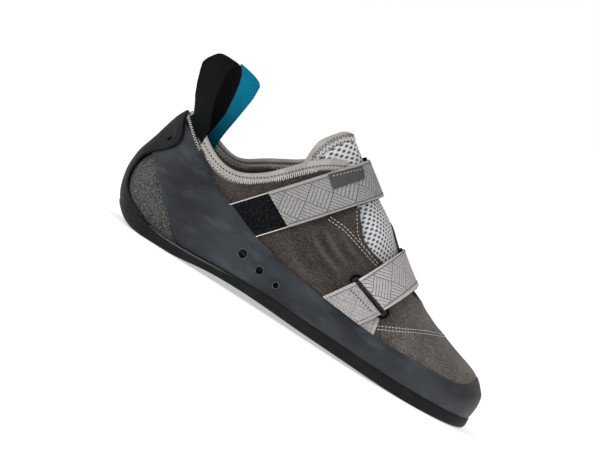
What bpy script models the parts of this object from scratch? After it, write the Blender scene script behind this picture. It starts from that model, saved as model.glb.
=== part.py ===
"""A climbing shoe for the right foot: low-cut, flat-lasted, with two hook-and-loop straps.

The shoe stands on its sole, +Z up, toe towards +X, the little-toe side towards -Y.
Every piece of the upper is cut from one function, the last: a rib rises from the feather
line at the sole, swells to the belly, leans in to the shoulder and ends on the crown.
Sizes below are millimetres. x is counted forward from the middle of the heel's tread.
"""

import math

import bmesh
import bpy
from mathutils import Vector

MM = 0.001
SHOE_MIDDLE = (88.23, -1.1)
LATERAL = -1
MEDIAL = 1

# Wall thicknesses and the clearance between neighbouring pieces
GAP = 0.3
UPPER_WALL = 2.0
RAND_WALL = 1.6
HEEL_WRAP_WALL = 1.8
BINDING_OUT = 0.9
BINDING_IN = 2.7
BINDING_HEIGHT = 7.5
BINDING_EASE = 0.6
TONGUE_WALL = 2.2
TONGUE_BINDING_WIDTH = 6.0
TONGUE_BINDING_WALL = 2.8
STRAP_WALL = 2.0
WEBBING_WALL = 0.9
RING_WIRE = 2.0

# The last, a row for each section across the foot: the height of the sole's top edge, the
# half-widths and height of the belly, those of the shoulder, and the crown of the instep.
# Behind the instep the crown is the top of the ankle cone, which the collar cuts off.
SECTION_COLUMNS = ("x", "sole_top", "belly_lat", "belly_med", "belly_z",
                   "shoulder_lat", "shoulder_med", "shoulder_z", "crown_y", "crown_z")
SECTIONS = (
    (-14, 8.8, 28.5, 28.0, 32, 23.0, 22.5, 74, 0, 152),
    (18, 9.8, 30.0, 28.5, 30, 25.0, 24.5, 70, 0, 148),
    (50, 10.5, 33.0, 29.0, 27, 25.5, 25.0, 87, 0, 134.5),
    (85, 10.0, 38.0, 33.0, 24, 26.0, 25.0, 89, 0, 110.5),
    (120, 9.2, 43.5, 39.0, 21, 30.5, 28.5, 65, 1, 84),
    (150, 8.2, 46.0, 44.0, 19, 33.5, 33.0, 46, 3, 61.5),
    (178, 7.4, 40.0, 44.0, 17, 27.5, 31.5, 34.5, 9, 46.8),
)
# The two ends of the last: where each level's outline closes at the heel and at the toe
END_COLUMNS = ("foot_x", "foot_z", "belly_x", "belly_z", "shoulder_x", "shoulder_z", "tip_y")
HEEL_END = (-38.3, 10.5, -45.3, 33.5, -30.6, 80, 0)
TOE_END = (221.0, 6.8, 222.6, 15, 212.6, 32.4, 15)
FOOT_TUCK = 2.5
HEEL_ROUNDNESS = 0.58
TOE_ROUNDNESS = 0.52

# Where a rib passes its levels, as shares of its length
T_FOOT, T_BELLY, T_SHOULDER, T_CROWN = 0.0, 0.2, 0.66, 1.0

# Height of the upper's top edge: collar, then the throat, which closes on the crown
RIM_COLUMNS = ("x", "lateral", "medial")
RIM = (
    (-31, 74.5, 74.5), (-14, 66, 69), (0, 59, 64), (8, 58, 63), (15, 59.5, 66),
    (25, 65, 72.5), (35, 74, 79.5), (45, 86, 86), (55, 94.5, 94.5), (70, 101, 102),
    (80, 96, 99.5), (93, 87, 94), (103, 74.5, 88), (113, 69.5, 82.5), (125, 66, 76),
    (138, 62, 68), (150, 58.5, 60), (157, 56.8, 56.8),
)
COLLAR_FRONT_X = 70
THROAT_END_X = 157

# The rubber rand, a band round the whole shoe: lower and upper edge heights
RAND_COLUMNS = ("x", "low", "high")
RAND = (
    (-45, 48, 72), (-38, 46, 70), (-25, 35, 66.5), (-14, 24, 63.5), (-6, 15.5, 60.5), (2, 0, 56.5),
    (18, 0, 48), (45, 0, 37.5), (75, 0, 31), (100, 0, 27.3), (140, 0, 24), (178, 0, 23),
    (200, 0, 23.6), (212, 0, 26.6), (221, 0, 30.8),
)
RAND_SEAT = 0.75
RAND_LIFT = 0.6
RAND_VENTS = ((44, 24.5, 5.6), (59, 21, 4.6), (73, 18.5, 3.6))
VENT_COLUMNS = ("x", "z", "diameter")

# The heel wrap of sole rubber: how far forward its front edge lies at each height
WRAP_COLUMNS = ("z", "edge_x")
WRAP = ((7, -18), (11, -23), (15, -31), (21, -38), (28, -41.6), (36, -42.3), (44, -40),
        (51, -36), (57, -31), (62, -27.0), (66, -25.5), (71, -27.3), (75, -29.3), (79, -30.3))
WRAP_TOP = 79
WRAP_ROOT = 2.5
WRAP_LIFT = 0.9
WRAP_OVER_RAND_FROM = 36
WRAP_OVER_RAND_TO = 44
WRAP_TUCK_FROM = 73
WRAP_TUCK = 0.9
WRAP_VENT = (-33.5, 62.5, 3.6)

# Sole: height of the tread, and how its lower edge rolls up at the back of the heel
TREAD_COLUMNS = ("x", "tread_z")
TREAD = ((-50, -1.2), (4, -1.2), (20, 0.8), (34, 2.5), (50, 3.1), (74, 2.5), (98, 1.5),
         (122, 0.9), (140, 0.4), (160, -0.5), (178, -1.2), (230, -1.2))
TREAD_DROP = 1.2
SOLE_OVERHANG = 3.4
SOLE_EDGE = 2.2
TOP_EDGE = 0.4
TOE_EDGE = 4.0
HEEL_ROLL = 17.0
TRAY_FLOOR = 5.2
TRAY_INSET = 3.5
INSOLE_INSET = 4.5
INSOLE_WALL = 2.5

# Straps lie between two planes that lean back over the instep: a plane's slope, the
# offset of its middle, the strap's width and the heights of its two ends, rear and front edge
STRAP_WIDTH = 25.5
UPPER_STRAP_LEAN = 48.9
UPPER_STRAP_MIDDLE = -3.1
UPPER_STRAP_END = (66.0, 54.0)
UPPER_STRAP_SEAT = (53.0, 42.0)
LOOP_PATCH_FOOT = (48.6, 38.6)
LOOP_PATCH_TOP = (76.0, 66.0)
STRAP_TAB_ENDS = (94.5, 110.0)
STRAP_TAB_WIDTH = 9.0
LOWER_STRAP_LEAN = 63.7
LOWER_STRAP_MIDDLE = 94.3
LOWER_STRAP_END = (51.0, 42.3)
LOWER_STRAP_SEAT = (31.0, 28.5)
ANCHOR_LEAN = 55.4
ANCHOR_MIDDLE = 80.4
ANCHOR_END = (45.3, 36.5)
ANCHOR_SEAT = (28.6, 26.0)
ANCHOR_BASE_LEAN = 101.0
ANCHOR_BASE_MIDDLE = 131.8
ANCHOR_BASE_FOOT = (27.2, 25.2)
ANCHOR_BASE_TOP = (42.0, 36.0)
RING_END = 3.6
RING_LIFT = 3.6
FOLD_UNDER = 1.9
FOLD_OVER = 3.4

# Tongue: planes across it lean like the edge of its tip
TONGUE_LEAN = 58.0
TONGUE_TIP_COLUMNS = ("share", "across")
TONGUE_TIP = ((0, -14.0), (0.3, -18.0), (0.6, -13.5), (0.8, -5.0), (1, 2.0))
TONGUE_FRONT = 106.0
TONGUE_EDGE = 0.56
TONGUE_SUNK = -3.5
TONGUE_DIP = 1.2
TONGUE_PROUD = -0.6

# Heel loops: the webbing's path seen end-on, out from the collar and up as a share of its height,
# then for each loop its side, the rib of its middle, its top, how far it leans back, its finish
LOOP_WIDTH = 19.0
LOOP_WALL = 1.2
LOOP_COLUMNS = ("out", "height")
LOOP_INSIDE = -BINDING_IN - GAP - LOOP_WALL / 2
LOOP_OUTSIDE = BINDING_OUT + GAP + LOOP_WALL / 2
LOOP_FREE = ((-3.2, 0.14), (-2.8, 0.36), (-2.0, 0.58), (-0.3, 0.77), (2.8, 0.91), (7.0, 0.985),
             (11.5, 1.0), (15.2, 0.93), (17.0, 0.80), (16.8, 0.64), (14.8, 0.46), (11.0, 0.28),
             (6.6, 0.12))
LOOPS = (("heel_loop_lateral", LATERAL, 0.71, 126.5, 4.0, "black webbing"),
         ("heel_loop_medial", MEDIAL, 0.98, 121.5, -1.0, "teal webbing"))

COLOURS = {
    "suede": (0.098, 0.082, 0.075), "rand rubber": (0.036, 0.041, 0.048),
    "sole rubber": (0.022, 0.023, 0.023), "binding": (0.40, 0.385, 0.36),
    "mesh": (0.50, 0.51, 0.53), "strap": (0.38, 0.36, 0.345), "loop pile": (0.006, 0.006, 0.007),
    "tab rubber": (0.07, 0.066, 0.064), "ring": (0.01, 0.01, 0.011),
    "black webbing": (0.012, 0.013, 0.014), "teal webbing": (0.004, 0.13, 0.22),
    "insole": (0.05, 0.045, 0.043),
}
ROUGHNESS = {"rand rubber": 0.5, "sole rubber": 0.5, "ring": 0.25, "tab rubber": 0.55}
CLOTH_ROUGHNESS = 0.9


def ease(share):
    """A smooth step from 0 to 1."""
    share = min(1.0, max(0.0, share))
    return share * share * (3 - 2 * share)


def mix(low, high, share):
    return low + (high - low) * share


def hermite(start, start_slope, end, end_slope, length, share):
    """A cubic from start to end, which may be numbers or points, with slopes per unit of length."""
    blend = share * share * (3 - 2 * share)
    bow = share * (1 - share) * length
    return start * (1 - blend) + end * blend + (start_slope * (1 - share) - end_slope * share) * bow


def read(rows, columns, name, x):
    """A smooth curve through one column of a table, held level past its ends."""
    column = columns.index(name)
    xs = [row[0] for row in rows]
    ys = [row[column] for row in rows]
    if x <= xs[0]:
        return ys[0]
    if x >= xs[-1]:
        return ys[-1]
    i = next(k for k in range(len(xs) - 1) if x <= xs[k + 1])

    def slope(k):
        if k in (0, len(xs) - 1):
            return 0.0 if k == 0 else (ys[k] - ys[k - 1]) / (xs[k] - xs[k - 1])
        before = (ys[k] - ys[k - 1]) / (xs[k] - xs[k - 1])
        after = (ys[k + 1] - ys[k]) / (xs[k + 1] - xs[k])
        if before * after <= 0:
            return 0.0
        return 2 * before * after / (before + after)

    length = xs[i + 1] - xs[i]
    return hermite(ys[i], slope(i), ys[i + 1], slope(i + 1), length, (x - xs[i]) / length)


def section(name, x):
    return read(SECTIONS, SECTION_COLUMNS, name, x)


HEEL_X = SECTIONS[0][0]
TOE_X = SECTIONS[-1][0]


def s_of_x(x):
    """A rib's number along the side: 0 is the back of the heel, 1 to 2 the sides, 3 the toe."""
    return 1 + (x - HEEL_X) / (TOE_X - HEEL_X)


def x_of_s(s):
    return HEEL_X + (s - 1) * (TOE_X - HEEL_X)


def side_level(side, level, x):
    """The point of one level, foot, belly or shoulder, on a rib of the shoe's side."""
    wing = "lat" if side == LATERAL else "med"
    if level == "foot":
        reach = section("belly_" + wing, x) - FOOT_TUCK
        return Vector((x, side * reach, section("sole_top", x) + GAP))
    return Vector((x, side * section(level + "_" + wing, x), section(level + "_z", x)))


def end_level(side, level, end, share):
    """The point of one level on a rib that fans round the heel or the toe. share runs from 0
    at the side to 1 at the very end; the outline is a quarter round that leaves the side level."""
    corner_x, forward, row = (HEEL_X, -1, HEEL_END) if end == "heel" else (TOE_X, 1, TOE_END)
    roundness = HEEL_ROUNDNESS if end == "heel" else TOE_ROUNDNESS
    facts = dict(zip(END_COLUMNS, row))
    start = side_level(side, level, corner_x)
    tip = Vector((facts[level + "_x"], facts["tip_y"], facts[level + "_z"]))
    along = side_level(side, level, corner_x) - side_level(side, level, corner_x - forward)
    reach = abs(tip.x - start.x)
    first = start + Vector((forward, along.y, 0)) * reach * roundness
    second = Vector((tip.x, mix(tip.y, start.y, roundness), 0))
    a, b = 1 - share, share
    point = start * a ** 3 + first * (3 * a * a * b) + second * (3 * a * b * b) + tip * b ** 3
    point.z = mix(start.z, tip.z, ease(share))
    return point


def level_point(side, s, level):
    if s < 1:
        return end_level(side, level, "heel", 1 - s)
    if s > 2:
        return end_level(side, level, "toe", s - 2)
    return side_level(side, level, x_of_s(s))


def crown_point(s):
    x = x_of_s(min(2, max(1, s)))
    return Vector((x, section("crown_y", x), section("crown_z", x)))


TOE_CROWN_SLOPE = section("crown_z", TOE_X) - section("crown_z", TOE_X - 1)


class Rib:
    """One rib of the last. point(t) runs from the feather line at 0 to the crown at 1."""

    def __init__(self, side, s):
        foot, belly, shoulder = (level_point(side, s, n) for n in ("foot", "belly", "shoulder"))
        crown = crown_point(s)
        inward = Vector((crown.x - shoulder.x, crown.y - shoulder.y, 0))
        inward.z = TOE_CROWN_SLOPE * inward.x if s > 2 else 0.0
        rise = Vector((0, 0, (shoulder.z - foot.z) / (T_SHOULDER - T_FOOT)))
        self.knots = (T_FOOT, T_BELLY, T_SHOULDER, T_CROWN)
        self.points = (foot, belly, shoulder, crown)
        self.slopes = (
            (belly - foot) * (1.5 / (T_BELLY - T_FOOT)) - rise * 0.5,
            rise,
            (crown - belly) / (T_CROWN - T_BELLY),
            inward * (1.3 / (T_CROWN - T_SHOULDER)),
        )

    def point(self, t):
        i = 0 if t < T_BELLY else 1 if t < T_SHOULDER else 2
        length = self.knots[i + 1] - self.knots[i]
        return hermite(self.points[i], self.slopes[i], self.points[i + 1], self.slopes[i + 1],
                       length, (t - self.knots[i]) / length)

    def t_at(self, z):
        """Where the rib reaches a height."""
        low, high = T_FOOT, T_CROWN
        if z >= self.points[-1].z:
            return T_CROWN
        for _ in range(40):
            middle = (low + high) / 2
            low, high = (middle, high) if self.point(middle).z < z else (low, middle)
        return (low + high) / 2


RIBS = {}


def rib(side, s):
    key = (side, round(s, 5))
    if key not in RIBS:
        RIBS[key] = Rib(side, s)
    return RIBS[key]


def skin(side, s, t, lift=0.0):
    """A point of the last, lifted along its outward normal."""
    step = 0.01
    here = rib(side, s).point(t)
    low_t, high_t = max(0.0, t - step), min(1.0, t + step)
    up = rib(side, s).point(high_t) - rib(side, s).point(low_t)
    if s < step or s > 3 - step:
        along = Vector((0, -1 if s < step else 1, 0))
    else:
        along = rib(side, s + step).point(t) - rib(side, s - step).point(t)
    if side == MEDIAL and step <= s <= 3 - step:
        along.negate()
    if along.length < 1e-6:
        along = Vector((0, 1, 0)) if s > 2 else Vector((1, 0, 0))
    normal = along.cross(up)
    if t > 1 - step and s <= 2:
        normal = Vector((section("crown_z", x_of_s(s) - 1) - section("crown_z", x_of_s(s) + 1), 0, 2))
    return here + normal.normalized() * lift


def rib_x(side, s, level):
    return level_point(side, s, level).x


def rim_z(side, s):
    wing = "lateral" if side == LATERAL else "medial"
    return read(RIM, RIM_COLUMNS, wing, rib_x(side, s, "shoulder"))


def rim_t(side, s):
    if s >= s_of_x(THROAT_END_X):
        return 1.0
    return rib(side, s).t_at(rim_z(side, s))


def spread(low, high, steps):
    return [mix(low, high, k / steps) for k in range(steps + 1)]


HEEL_STEPS, SIDE_STEPS, TOE_STEPS = 8, 21, 8
S_STEPS = (spread(0, 1, HEEL_STEPS) + spread(1, 2, SIDE_STEPS)[1:] + spread(2, 3, TOE_STEPS)[1:])


def round_the_foot():
    """All ribs in turn: up the lateral side from heel to toe, and back down the medial side."""
    return [(LATERAL, s) for s in S_STEPS] + [(MEDIAL, s) for s in reversed(S_STEPS[1:-1])]


def material(name):
    made = bpy.data.materials.get(name)
    if made is None:
        made = bpy.data.materials.new(name)
        made.use_nodes = True
        shader = made.node_tree.nodes["Principled BSDF"]
        shader.inputs["Base Color"].default_value = (*COLOURS[name], 1)
        shader.inputs["Roughness"].default_value = ROUGHNESS.get(name, CLOTH_ROUGHNESS)
        shader.inputs["Metallic"].default_value = 1.0 if name == "ring" else 0.0
    return made


def add_object(name, mesh, finish):
    obj = bpy.data.objects.new(name, mesh)
    mesh.materials.append(material(finish))
    mesh.shade_smooth()
    mesh.set_sharp_from_angle(angle=math.radians(40))
    bpy.data.collections["climbing shoe"].objects.link(obj)
    obj.parent = bpy.data.objects["shoe"]
    return obj


def loft(name, rows, finish, around=False):
    """Faces between successive rows of points. around joins the last row to the first."""
    shape = bmesh.new()
    made = [[shape.verts.new(point * MM) for point in row] for row in rows]
    for one, two in zip(made, made[1:] + made[:1] if around else made[1:]):
        for k in range(len(one) - 1):
            shape.faces.new((one[k], two[k], two[k + 1], one[k + 1]))
    bmesh.ops.remove_doubles(shape, verts=shape.verts, dist=0.02 * MM)
    bmesh.ops.dissolve_degenerate(shape, edges=shape.edges, dist=0.01 * MM)
    mesh = bpy.data.meshes.new(name)
    shape.to_mesh(mesh)
    shape.free()
    return add_object(name, mesh, finish)


def thicken(obj, wall, direction):
    """Gives an open surface its wall: direction 1 outwards, -1 inwards, 0 both ways."""
    solid = obj.modifiers.new("wall", "SOLIDIFY")
    solid.thickness = wall * MM
    solid.offset = direction
    solid.use_even_offset = True
    return obj


def set_aside(obj):
    """Keeps a helper shape with the cutters, out of the shoe itself."""
    for home in list(obj.users_collection):
        home.objects.unlink(obj)
    bpy.data.collections["cutters"].objects.link(obj)
    obj.hide_render = True
    obj.display_type = "WIRE"
    return obj


def cutter_rod(name, centre, direction, diameter, length):
    bpy.ops.mesh.primitive_cylinder_add(vertices=14, radius=diameter / 2 * MM, depth=length * MM,
                                        location=centre * MM)
    rod = bpy.context.object
    rod.name = name
    rod.rotation_mode = "QUATERNION"
    rod.rotation_quaternion = direction.to_track_quat("Z", "Y")
    rod.parent = bpy.data.objects["shoe"]
    return set_aside(rod)


def boolean(obj, other, operation):
    change = obj.modifiers.new(operation.lower(), "BOOLEAN")
    change.operation = operation
    change.object = other


def make_upper():
    """Suede upper: one wall from the feather line to the collar and throat, closed over the toe."""
    shares = (0, 0.11, 0.22, 0.35, 0.48, 0.62, 0.75, 0.88, 1)
    rows = [[skin(side, s, share * rim_t(side, s)) for share in shares]
            for side, s in round_the_foot()]
    thicken(loft("upper", rows, "suede", around=True), UPPER_WALL, -1)


def rand_edge(side, s, edge):
    return read(RAND, RAND_COLUMNS, edge, rib_x(side, s, "belly"))


def make_rand():
    """Rubber band over the lower upper, sweeping up and back round the heel as a sling."""
    steps = 4
    rows = []
    for side, s in round_the_foot():
        foot = level_point(side, s, "foot").z + RAND_SEAT
        low = rib(side, s).t_at(max(foot, rand_edge(side, s, "low")))
        high = rib(side, s).t_at(rand_edge(side, s, "high"))
        rows.append([skin(side, s, t, RAND_LIFT) for t in spread(low, high, steps)])
    rand = thicken(loft("rand", rows, "rand rubber", around=True), RAND_WALL, 1)
    for number, row in enumerate(RAND_VENTS):
        vent = dict(zip(VENT_COLUMNS, row))
        s = s_of_x(vent["x"])
        t = rib(LATERAL, s).t_at(vent["z"])
        out = skin(LATERAL, s, t, 1) - skin(LATERAL, s, t)
        rod = cutter_rod(f"vent cutter {number}", skin(LATERAL, s, t, 1), out, vent["diameter"], 6)
        boolean(rand, rod, "DIFFERENCE")


def s_at_x(side, x, z):
    """The heel rib whose point at height z lies at x."""
    low, high = 0.0, 1.5
    for _ in range(40):
        middle = (low + high) / 2
        here = rib(side, middle)
        low, high = (middle, high) if here.point(here.t_at(z)).x < x else (low, middle)
    return (low + high) / 2


def make_heel_wrap():
    """Sole rubber that climbs the back of the heel and flares over the rand below the collar."""
    lift_low, lift_high = WRAP_LIFT, RAND_LIFT + RAND_WALL + GAP
    rows = []
    for z in [WRAP[0][0]] + spread(WRAP[0][0] + 4, WRAP_TOP, 14):
        edge = read(WRAP, WRAP_COLUMNS, "edge_x", z)
        over = ease((z - WRAP_OVER_RAND_FROM) / (WRAP_OVER_RAND_TO - WRAP_OVER_RAND_FROM))
        lift = mix(lift_low, lift_high, over) - WRAP_TUCK * ease((z - WRAP_TUCK_FROM) / 6)
        reach = {side: s_at_x(side, edge, z) for side in (LATERAL, MEDIAL)}
        row = []
        for across in spread(-1, 1, 12):
            side = LATERAL if across <= 0 else MEDIAL
            s = abs(across) * reach[side]
            root = Vector((0, 0, WRAP_ROOT if z == WRAP[0][0] else 0))
            row.append(skin(side, s, rib(side, s).t_at(z), lift) - root)
        rows.append(row)
    wrap = thicken(loft("heel wrap", rows, "sole rubber"), HEEL_WRAP_WALL, 1)
    vent = dict(zip(VENT_COLUMNS, WRAP_VENT))
    s = s_at_x(LATERAL, vent["x"], vent["z"])
    t = rib(LATERAL, s).t_at(vent["z"])
    out = skin(LATERAL, s, t, 1) - skin(LATERAL, s, t)
    rod = cutter_rod("wrap vent cutter", skin(LATERAL, s, t, 3), out, vent["diameter"], 8)
    boolean(wrap, rod, "DIFFERENCE")
    return set_aside(wrap)


def tread_z(x):
    return read(TREAD, TREAD_COLUMNS, "tread_z", x)


def sole_ring(side, s):
    """The sole's section on one rib, from the middle of the tread round the edge to the tray."""
    foot = level_point(side, s, "foot")
    spine = crown_point(s)
    inward = Vector((spine.x - foot.x, spine.y - foot.y, 0))
    reach = inward.length
    inward.normalize()
    top = foot.z - GAP
    floor = tread_z(foot.x)
    roll = HEEL_ROLL * ease(1 - s) + SOLE_EDGE * (1 - ease(1 - s)) if s < 1 else SOLE_EDGE
    roll = mix(SOLE_EDGE, TOE_EDGE, ease(s - 2)) if s > 2 else roll
    roll_height = mix(SOLE_EDGE, top - floor - 0.5, ease(1 - s)) if s < 1 else roll * 0.8
    edge = foot - inward * SOLE_OVERHANG

    def at(distance, z):
        return Vector((edge.x, edge.y, 0)) + inward * distance + Vector((0, 0, z))

    middle = reach + SOLE_OVERHANG
    arc = [(roll * (1 - math.sin(a)), floor + roll_height * (1 - math.cos(a)))
           for a in (0, math.pi / 6, math.pi / 3, math.pi / 2)]
    tray = SOLE_OVERHANG + TRAY_INSET
    spine_floor = tread_z(spine.x)
    inside = [at(tray, floor + TRAY_FLOOR), at(middle, spine_floor + TRAY_FLOOR)]
    return ([at(middle, spine_floor)] + [at(d, z) for d, z in arc]
            + [at(TOP_EDGE, top), at(tray, top)] + inside)


def make_sole(wrap):
    """Flat rubber sole with a low arch, a rolled heel and a shallow tray for the insole."""
    rows = [sole_ring(side, s) for side, s in round_the_foot()]
    sole = loft("outsole", rows, "sole rubber", around=True)
    boolean(sole, wrap, "UNION")


def make_insole():
    """Thin board that fills the tray and floors the inside."""
    rows = []
    for side, s in round_the_foot():
        foot = level_point(side, s, "foot")
        spine = crown_point(s)
        inward = Vector((spine.x - foot.x, spine.y - foot.y, 0)).normalized()
        edge = foot + inward * INSOLE_INSET
        low = tread_z(foot.x) + TRAY_FLOOR + GAP
        middle = tread_z(spine.x) + TRAY_FLOOR + GAP
        rows.append([Vector((spine.x, spine.y, middle)), Vector((edge.x, edge.y, low)),
                     Vector((edge.x, edge.y, low + INSOLE_WALL)),
                     Vector((spine.x, spine.y, middle + INSOLE_WALL))])
    loft("insole", rows, "insole", around=True)


def make_collar_binding():
    """Soft rolled binding that sits on the collar's edge from throat to throat."""
    front = s_of_x(COLLAR_FRONT_X)
    along = [s for s in S_STEPS if s < front - 0.01] + [front]
    ribs = [(MEDIAL, s) for s in reversed(along[1:])] + [(LATERAL, s) for s in along]
    rows = []
    for side, s in ribs:
        here = rib(side, s)
        base = rim_z(side, s) + GAP + BINDING_EASE * ease((rib_x(side, s, "shoulder") - 45) / 15)
        rows.append([skin(side, s, here.t_at(z), -BINDING_IN)
                     for z in spread(base, base + BINDING_HEIGHT, 3)])
    binding = thicken(loft("collar_binding", rows, "binding"), BINDING_IN + BINDING_OUT, 1)
    soften(binding, 1.2)


def soften(obj, width):
    rounding = obj.modifiers.new("rounded edges", "BEVEL")
    rounding.width = width * MM
    rounding.segments = 1
    rounding.limit_method = "ANGLE"
    rounding.angle_limit = math.radians(50)


class Slab:
    """The band of the last between two leaning planes. across is the distance from its middle."""

    def __init__(self, lean, middle):
        angle = math.radians(lean)
        self.nx, self.nz, self.middle = math.sin(angle), -math.cos(angle), middle

    def s_at(self, side, t, across):
        low, high = s_of_x(20), 2.0
        for _ in range(40):
            s = (low + high) / 2
            here = rib(side, s).point(t)
            beyond = self.nx * here.x + self.nz * here.z > self.middle + across
            low, high = (low, s) if beyond else (s, high)
        return (low + high) / 2

    def t_at(self, side, z, across):
        """The share of the rib where the line at this distance crosses a height."""
        x = (self.middle + across - self.nz * z) / self.nx
        return rib(side, s_of_x(x)).t_at(z)

    def point(self, side, t, across, lift):
        return skin(side, self.s_at(side, t, across), t, lift)


ACROSS_STEPS = 4


def strap_ends(slab, side, heights):
    """The rib shares at a strap's end, from its rear edge to its front edge."""
    return [(across, slab.t_at(side, mix(*heights, k / ACROSS_STEPS), across))
            for k, across in enumerate(spread(-STRAP_WIDTH / 2, STRAP_WIDTH / 2, ACROSS_STEPS))]


def make_upper_strap():
    """The instep strap: sewn in at the medial rand, over the tongue, closed on the loop patch."""
    slab = Slab(UPPER_STRAP_LEAN, UPPER_STRAP_MIDDLE)
    steps = 11
    lift = 2 * GAP + WEBBING_WALL
    rows = []
    lateral = strap_ends(slab, LATERAL, UPPER_STRAP_END)
    medial = strap_ends(slab, MEDIAL, UPPER_STRAP_SEAT)
    for (across, start), (_, seat) in zip(lateral, medial):
        row = [slab.point(LATERAL, t, across, lift) for t in spread(start, 1, steps)]
        row += [slab.point(MEDIAL, t, across, mix(GAP, lift, ease((t - seat) * 4)))
                for t in spread(1, seat, steps)[1:]]
        rows.append(row)
    thicken(loft("upper_strap", rows, "strap"), STRAP_WALL, 1)

    patch = [[slab.point(LATERAL, t, across, GAP) for t in spread(low, high, 4)]
             for (across, low), (_, high) in zip(strap_ends(slab, LATERAL, LOOP_PATCH_FOOT),
                                                 strap_ends(slab, LATERAL, LOOP_PATCH_TOP))]
    thicken(loft("loop_patch", patch, "loop pile"), WEBBING_WALL, 1)

    rear = -STRAP_WIDTH / 2
    tab_lift = lift + STRAP_WALL + GAP
    foot, top = (slab.t_at(LATERAL, z, rear) for z in STRAP_TAB_ENDS)
    tab = [[slab.point(LATERAL, t, across, tab_lift) for t in spread(foot, top, 5)]
           for across in spread(rear + GAP, rear + STRAP_TAB_WIDTH, 2)]
    thicken(loft("strap_tab", tab, "tab rubber"), WEBBING_WALL, 1)


def folded(slab, fold, free, held, turn_down):
    """Webbing that turns round a bar of the ring: free and held list the (side, share) steps of
    its outer and inner layer, each ending at the bar. The turn faces down the shoe or up it."""
    radius = RING_WIRE / 2 + GAP + WEBBING_WALL / 2
    settle = 0.12
    rows = []
    for k, (across, fold_t) in enumerate(fold):
        def near(side, t):
            return ease(1 - abs(t - fold_t) / settle) if side == LATERAL else 0.0

        row = [slab.point(side, t, across, mix(FOLD_OVER, RING_LIFT + radius, near(side, t)))
               for side, t in free[k]]
        centre = slab.point(LATERAL, fold_t, across, RING_LIFT)
        outward = slab.point(LATERAL, fold_t, across, RING_LIFT + 1) - centre
        turn_to = slab.point(LATERAL, fold_t - 0.02 * turn_down, across, RING_LIFT) - centre
        turn_to.normalize()
        for angle in (30, 60, 90, 120, 150):
            turn = math.radians(angle)
            row.append(centre + (outward * math.cos(turn) + turn_to * math.sin(turn)) * radius)
        for side, t in reversed(held[k]):
            seat = ease((t - held[k][0][1]) * 6) if held[k][0][0] == side else 1.0
            low = mix(GAP + WEBBING_WALL / 2, FOLD_UNDER, seat) if side == MEDIAL else FOLD_UNDER
            row.append(slab.point(side, t, across, mix(low, RING_LIFT - radius, near(side, t))))
        rows.append(row)
    return rows


def make_lower_strap():
    """The forefoot strap, folded through the ring, the ring, and the tab that anchors it."""
    strap = Slab(LOWER_STRAP_LEAN, LOWER_STRAP_MIDDLE)
    fold = strap_ends(strap, LATERAL, LOWER_STRAP_END)
    seat = strap_ends(strap, MEDIAL, LOWER_STRAP_SEAT)
    down = [[(LATERAL, t) for t in spread(1, fold_t, 9)] for _, fold_t in fold]
    free = [[(MEDIAL, t) for t in spread(0.72, 1, 4)[:-1]] + way for way in down]
    held = [[(MEDIAL, t) for t in spread(seat_t, 1, 8)[:-1]] + way
            for (_, seat_t), way in zip(seat, down)]
    rows = folded(strap, fold, free, held, 1)
    thicken(loft("lower_strap", rows, "strap"), WEBBING_WALL, 0)

    anchor = Slab(ANCHOR_LEAN, ANCHOR_MIDDLE)
    top = strap_ends(anchor, LATERAL, ANCHOR_END)
    foot = strap_ends(anchor, LATERAL, ANCHOR_SEAT)
    up = [[(LATERAL, t) for t in spread(low, high, 6)] for (_, low), (_, high) in zip(foot, top)]
    rows = folded(anchor, top, up, up, -1)
    rows = [list(reversed(row)) for row in rows]
    thicken(loft("anchor_tab", rows, "strap"), WEBBING_WALL, 0)

    base = Slab(ANCHOR_BASE_LEAN, ANCHOR_BASE_MIDDLE)
    patch = [[base.point(LATERAL, t, across, GAP) for t in spread(low, high, 4)]
             for (across, low), (_, high) in zip(strap_ends(base, LATERAL, ANCHOR_BASE_FOOT),
                                                 strap_ends(base, LATERAL, ANCHOR_BASE_TOP))]
    thicken(loft("anchor_base", patch, "strap"), WEBBING_WALL, 1)

    make_ring([strap.point(LATERAL, t, across, RING_LIFT) for across, t in fold],
              [anchor.point(LATERAL, t, across, RING_LIFT) for across, t in top])


def make_ring(upper_bar, lower_bar):
    """A wire rectangle with round ends, through the two folds."""
    reach = (upper_bar[-1] - upper_bar[0]).normalized() * RING_END

    def round_end(one, two, out):
        turns = [math.radians(angle) for angle in (20, 46, 74, 106, 134, 160)]
        return [mix(one, two, (1 - math.cos(turn)) / 2) + out * math.sin(turn) for turn in turns]

    front_end = round_end(upper_bar[-1], lower_bar[-1], reach)
    rear_end = round_end(lower_bar[0], upper_bar[0], -reach)
    path = upper_bar + front_end + lower_bar[::-1] + rear_end
    curve = bpy.data.curves.new("ring", "CURVE")
    curve.dimensions = "3D"
    curve.bevel_depth = RING_WIRE / 2 * MM
    curve.bevel_resolution = 2
    curve.use_fill_caps = True
    line = curve.splines.new("POLY")
    line.points.add(len(path) - 1)
    for place, point in zip(line.points, path):
        place.co = (*(point * MM), 1)
    line.use_cyclic_u = True
    curve.materials.append(material("ring"))
    ring = bpy.data.objects.new("strap_ring", curve)
    bpy.data.collections["climbing shoe"].objects.link(ring)
    ring.parent = bpy.data.objects["shoe"]


def tongue_lift(side, s, t):
    """The tongue lies inside the upper and swells into the throat."""
    past = ease((x_of_s(s) - COLLAR_FRONT_X) / 8)
    clear = rib(side, s).t_at(rim_z(side, s) + (BINDING_HEIGHT + 1) * (1 - past))
    sunk = TONGUE_SUNK - TONGUE_DIP * ease((x_of_s(s) - 138) / 12)
    if s > s_of_x(THROAT_END_X):
        return sunk
    return mix(sunk, TONGUE_PROUD, ease((t - clear - 0.03) / 0.12))


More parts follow.
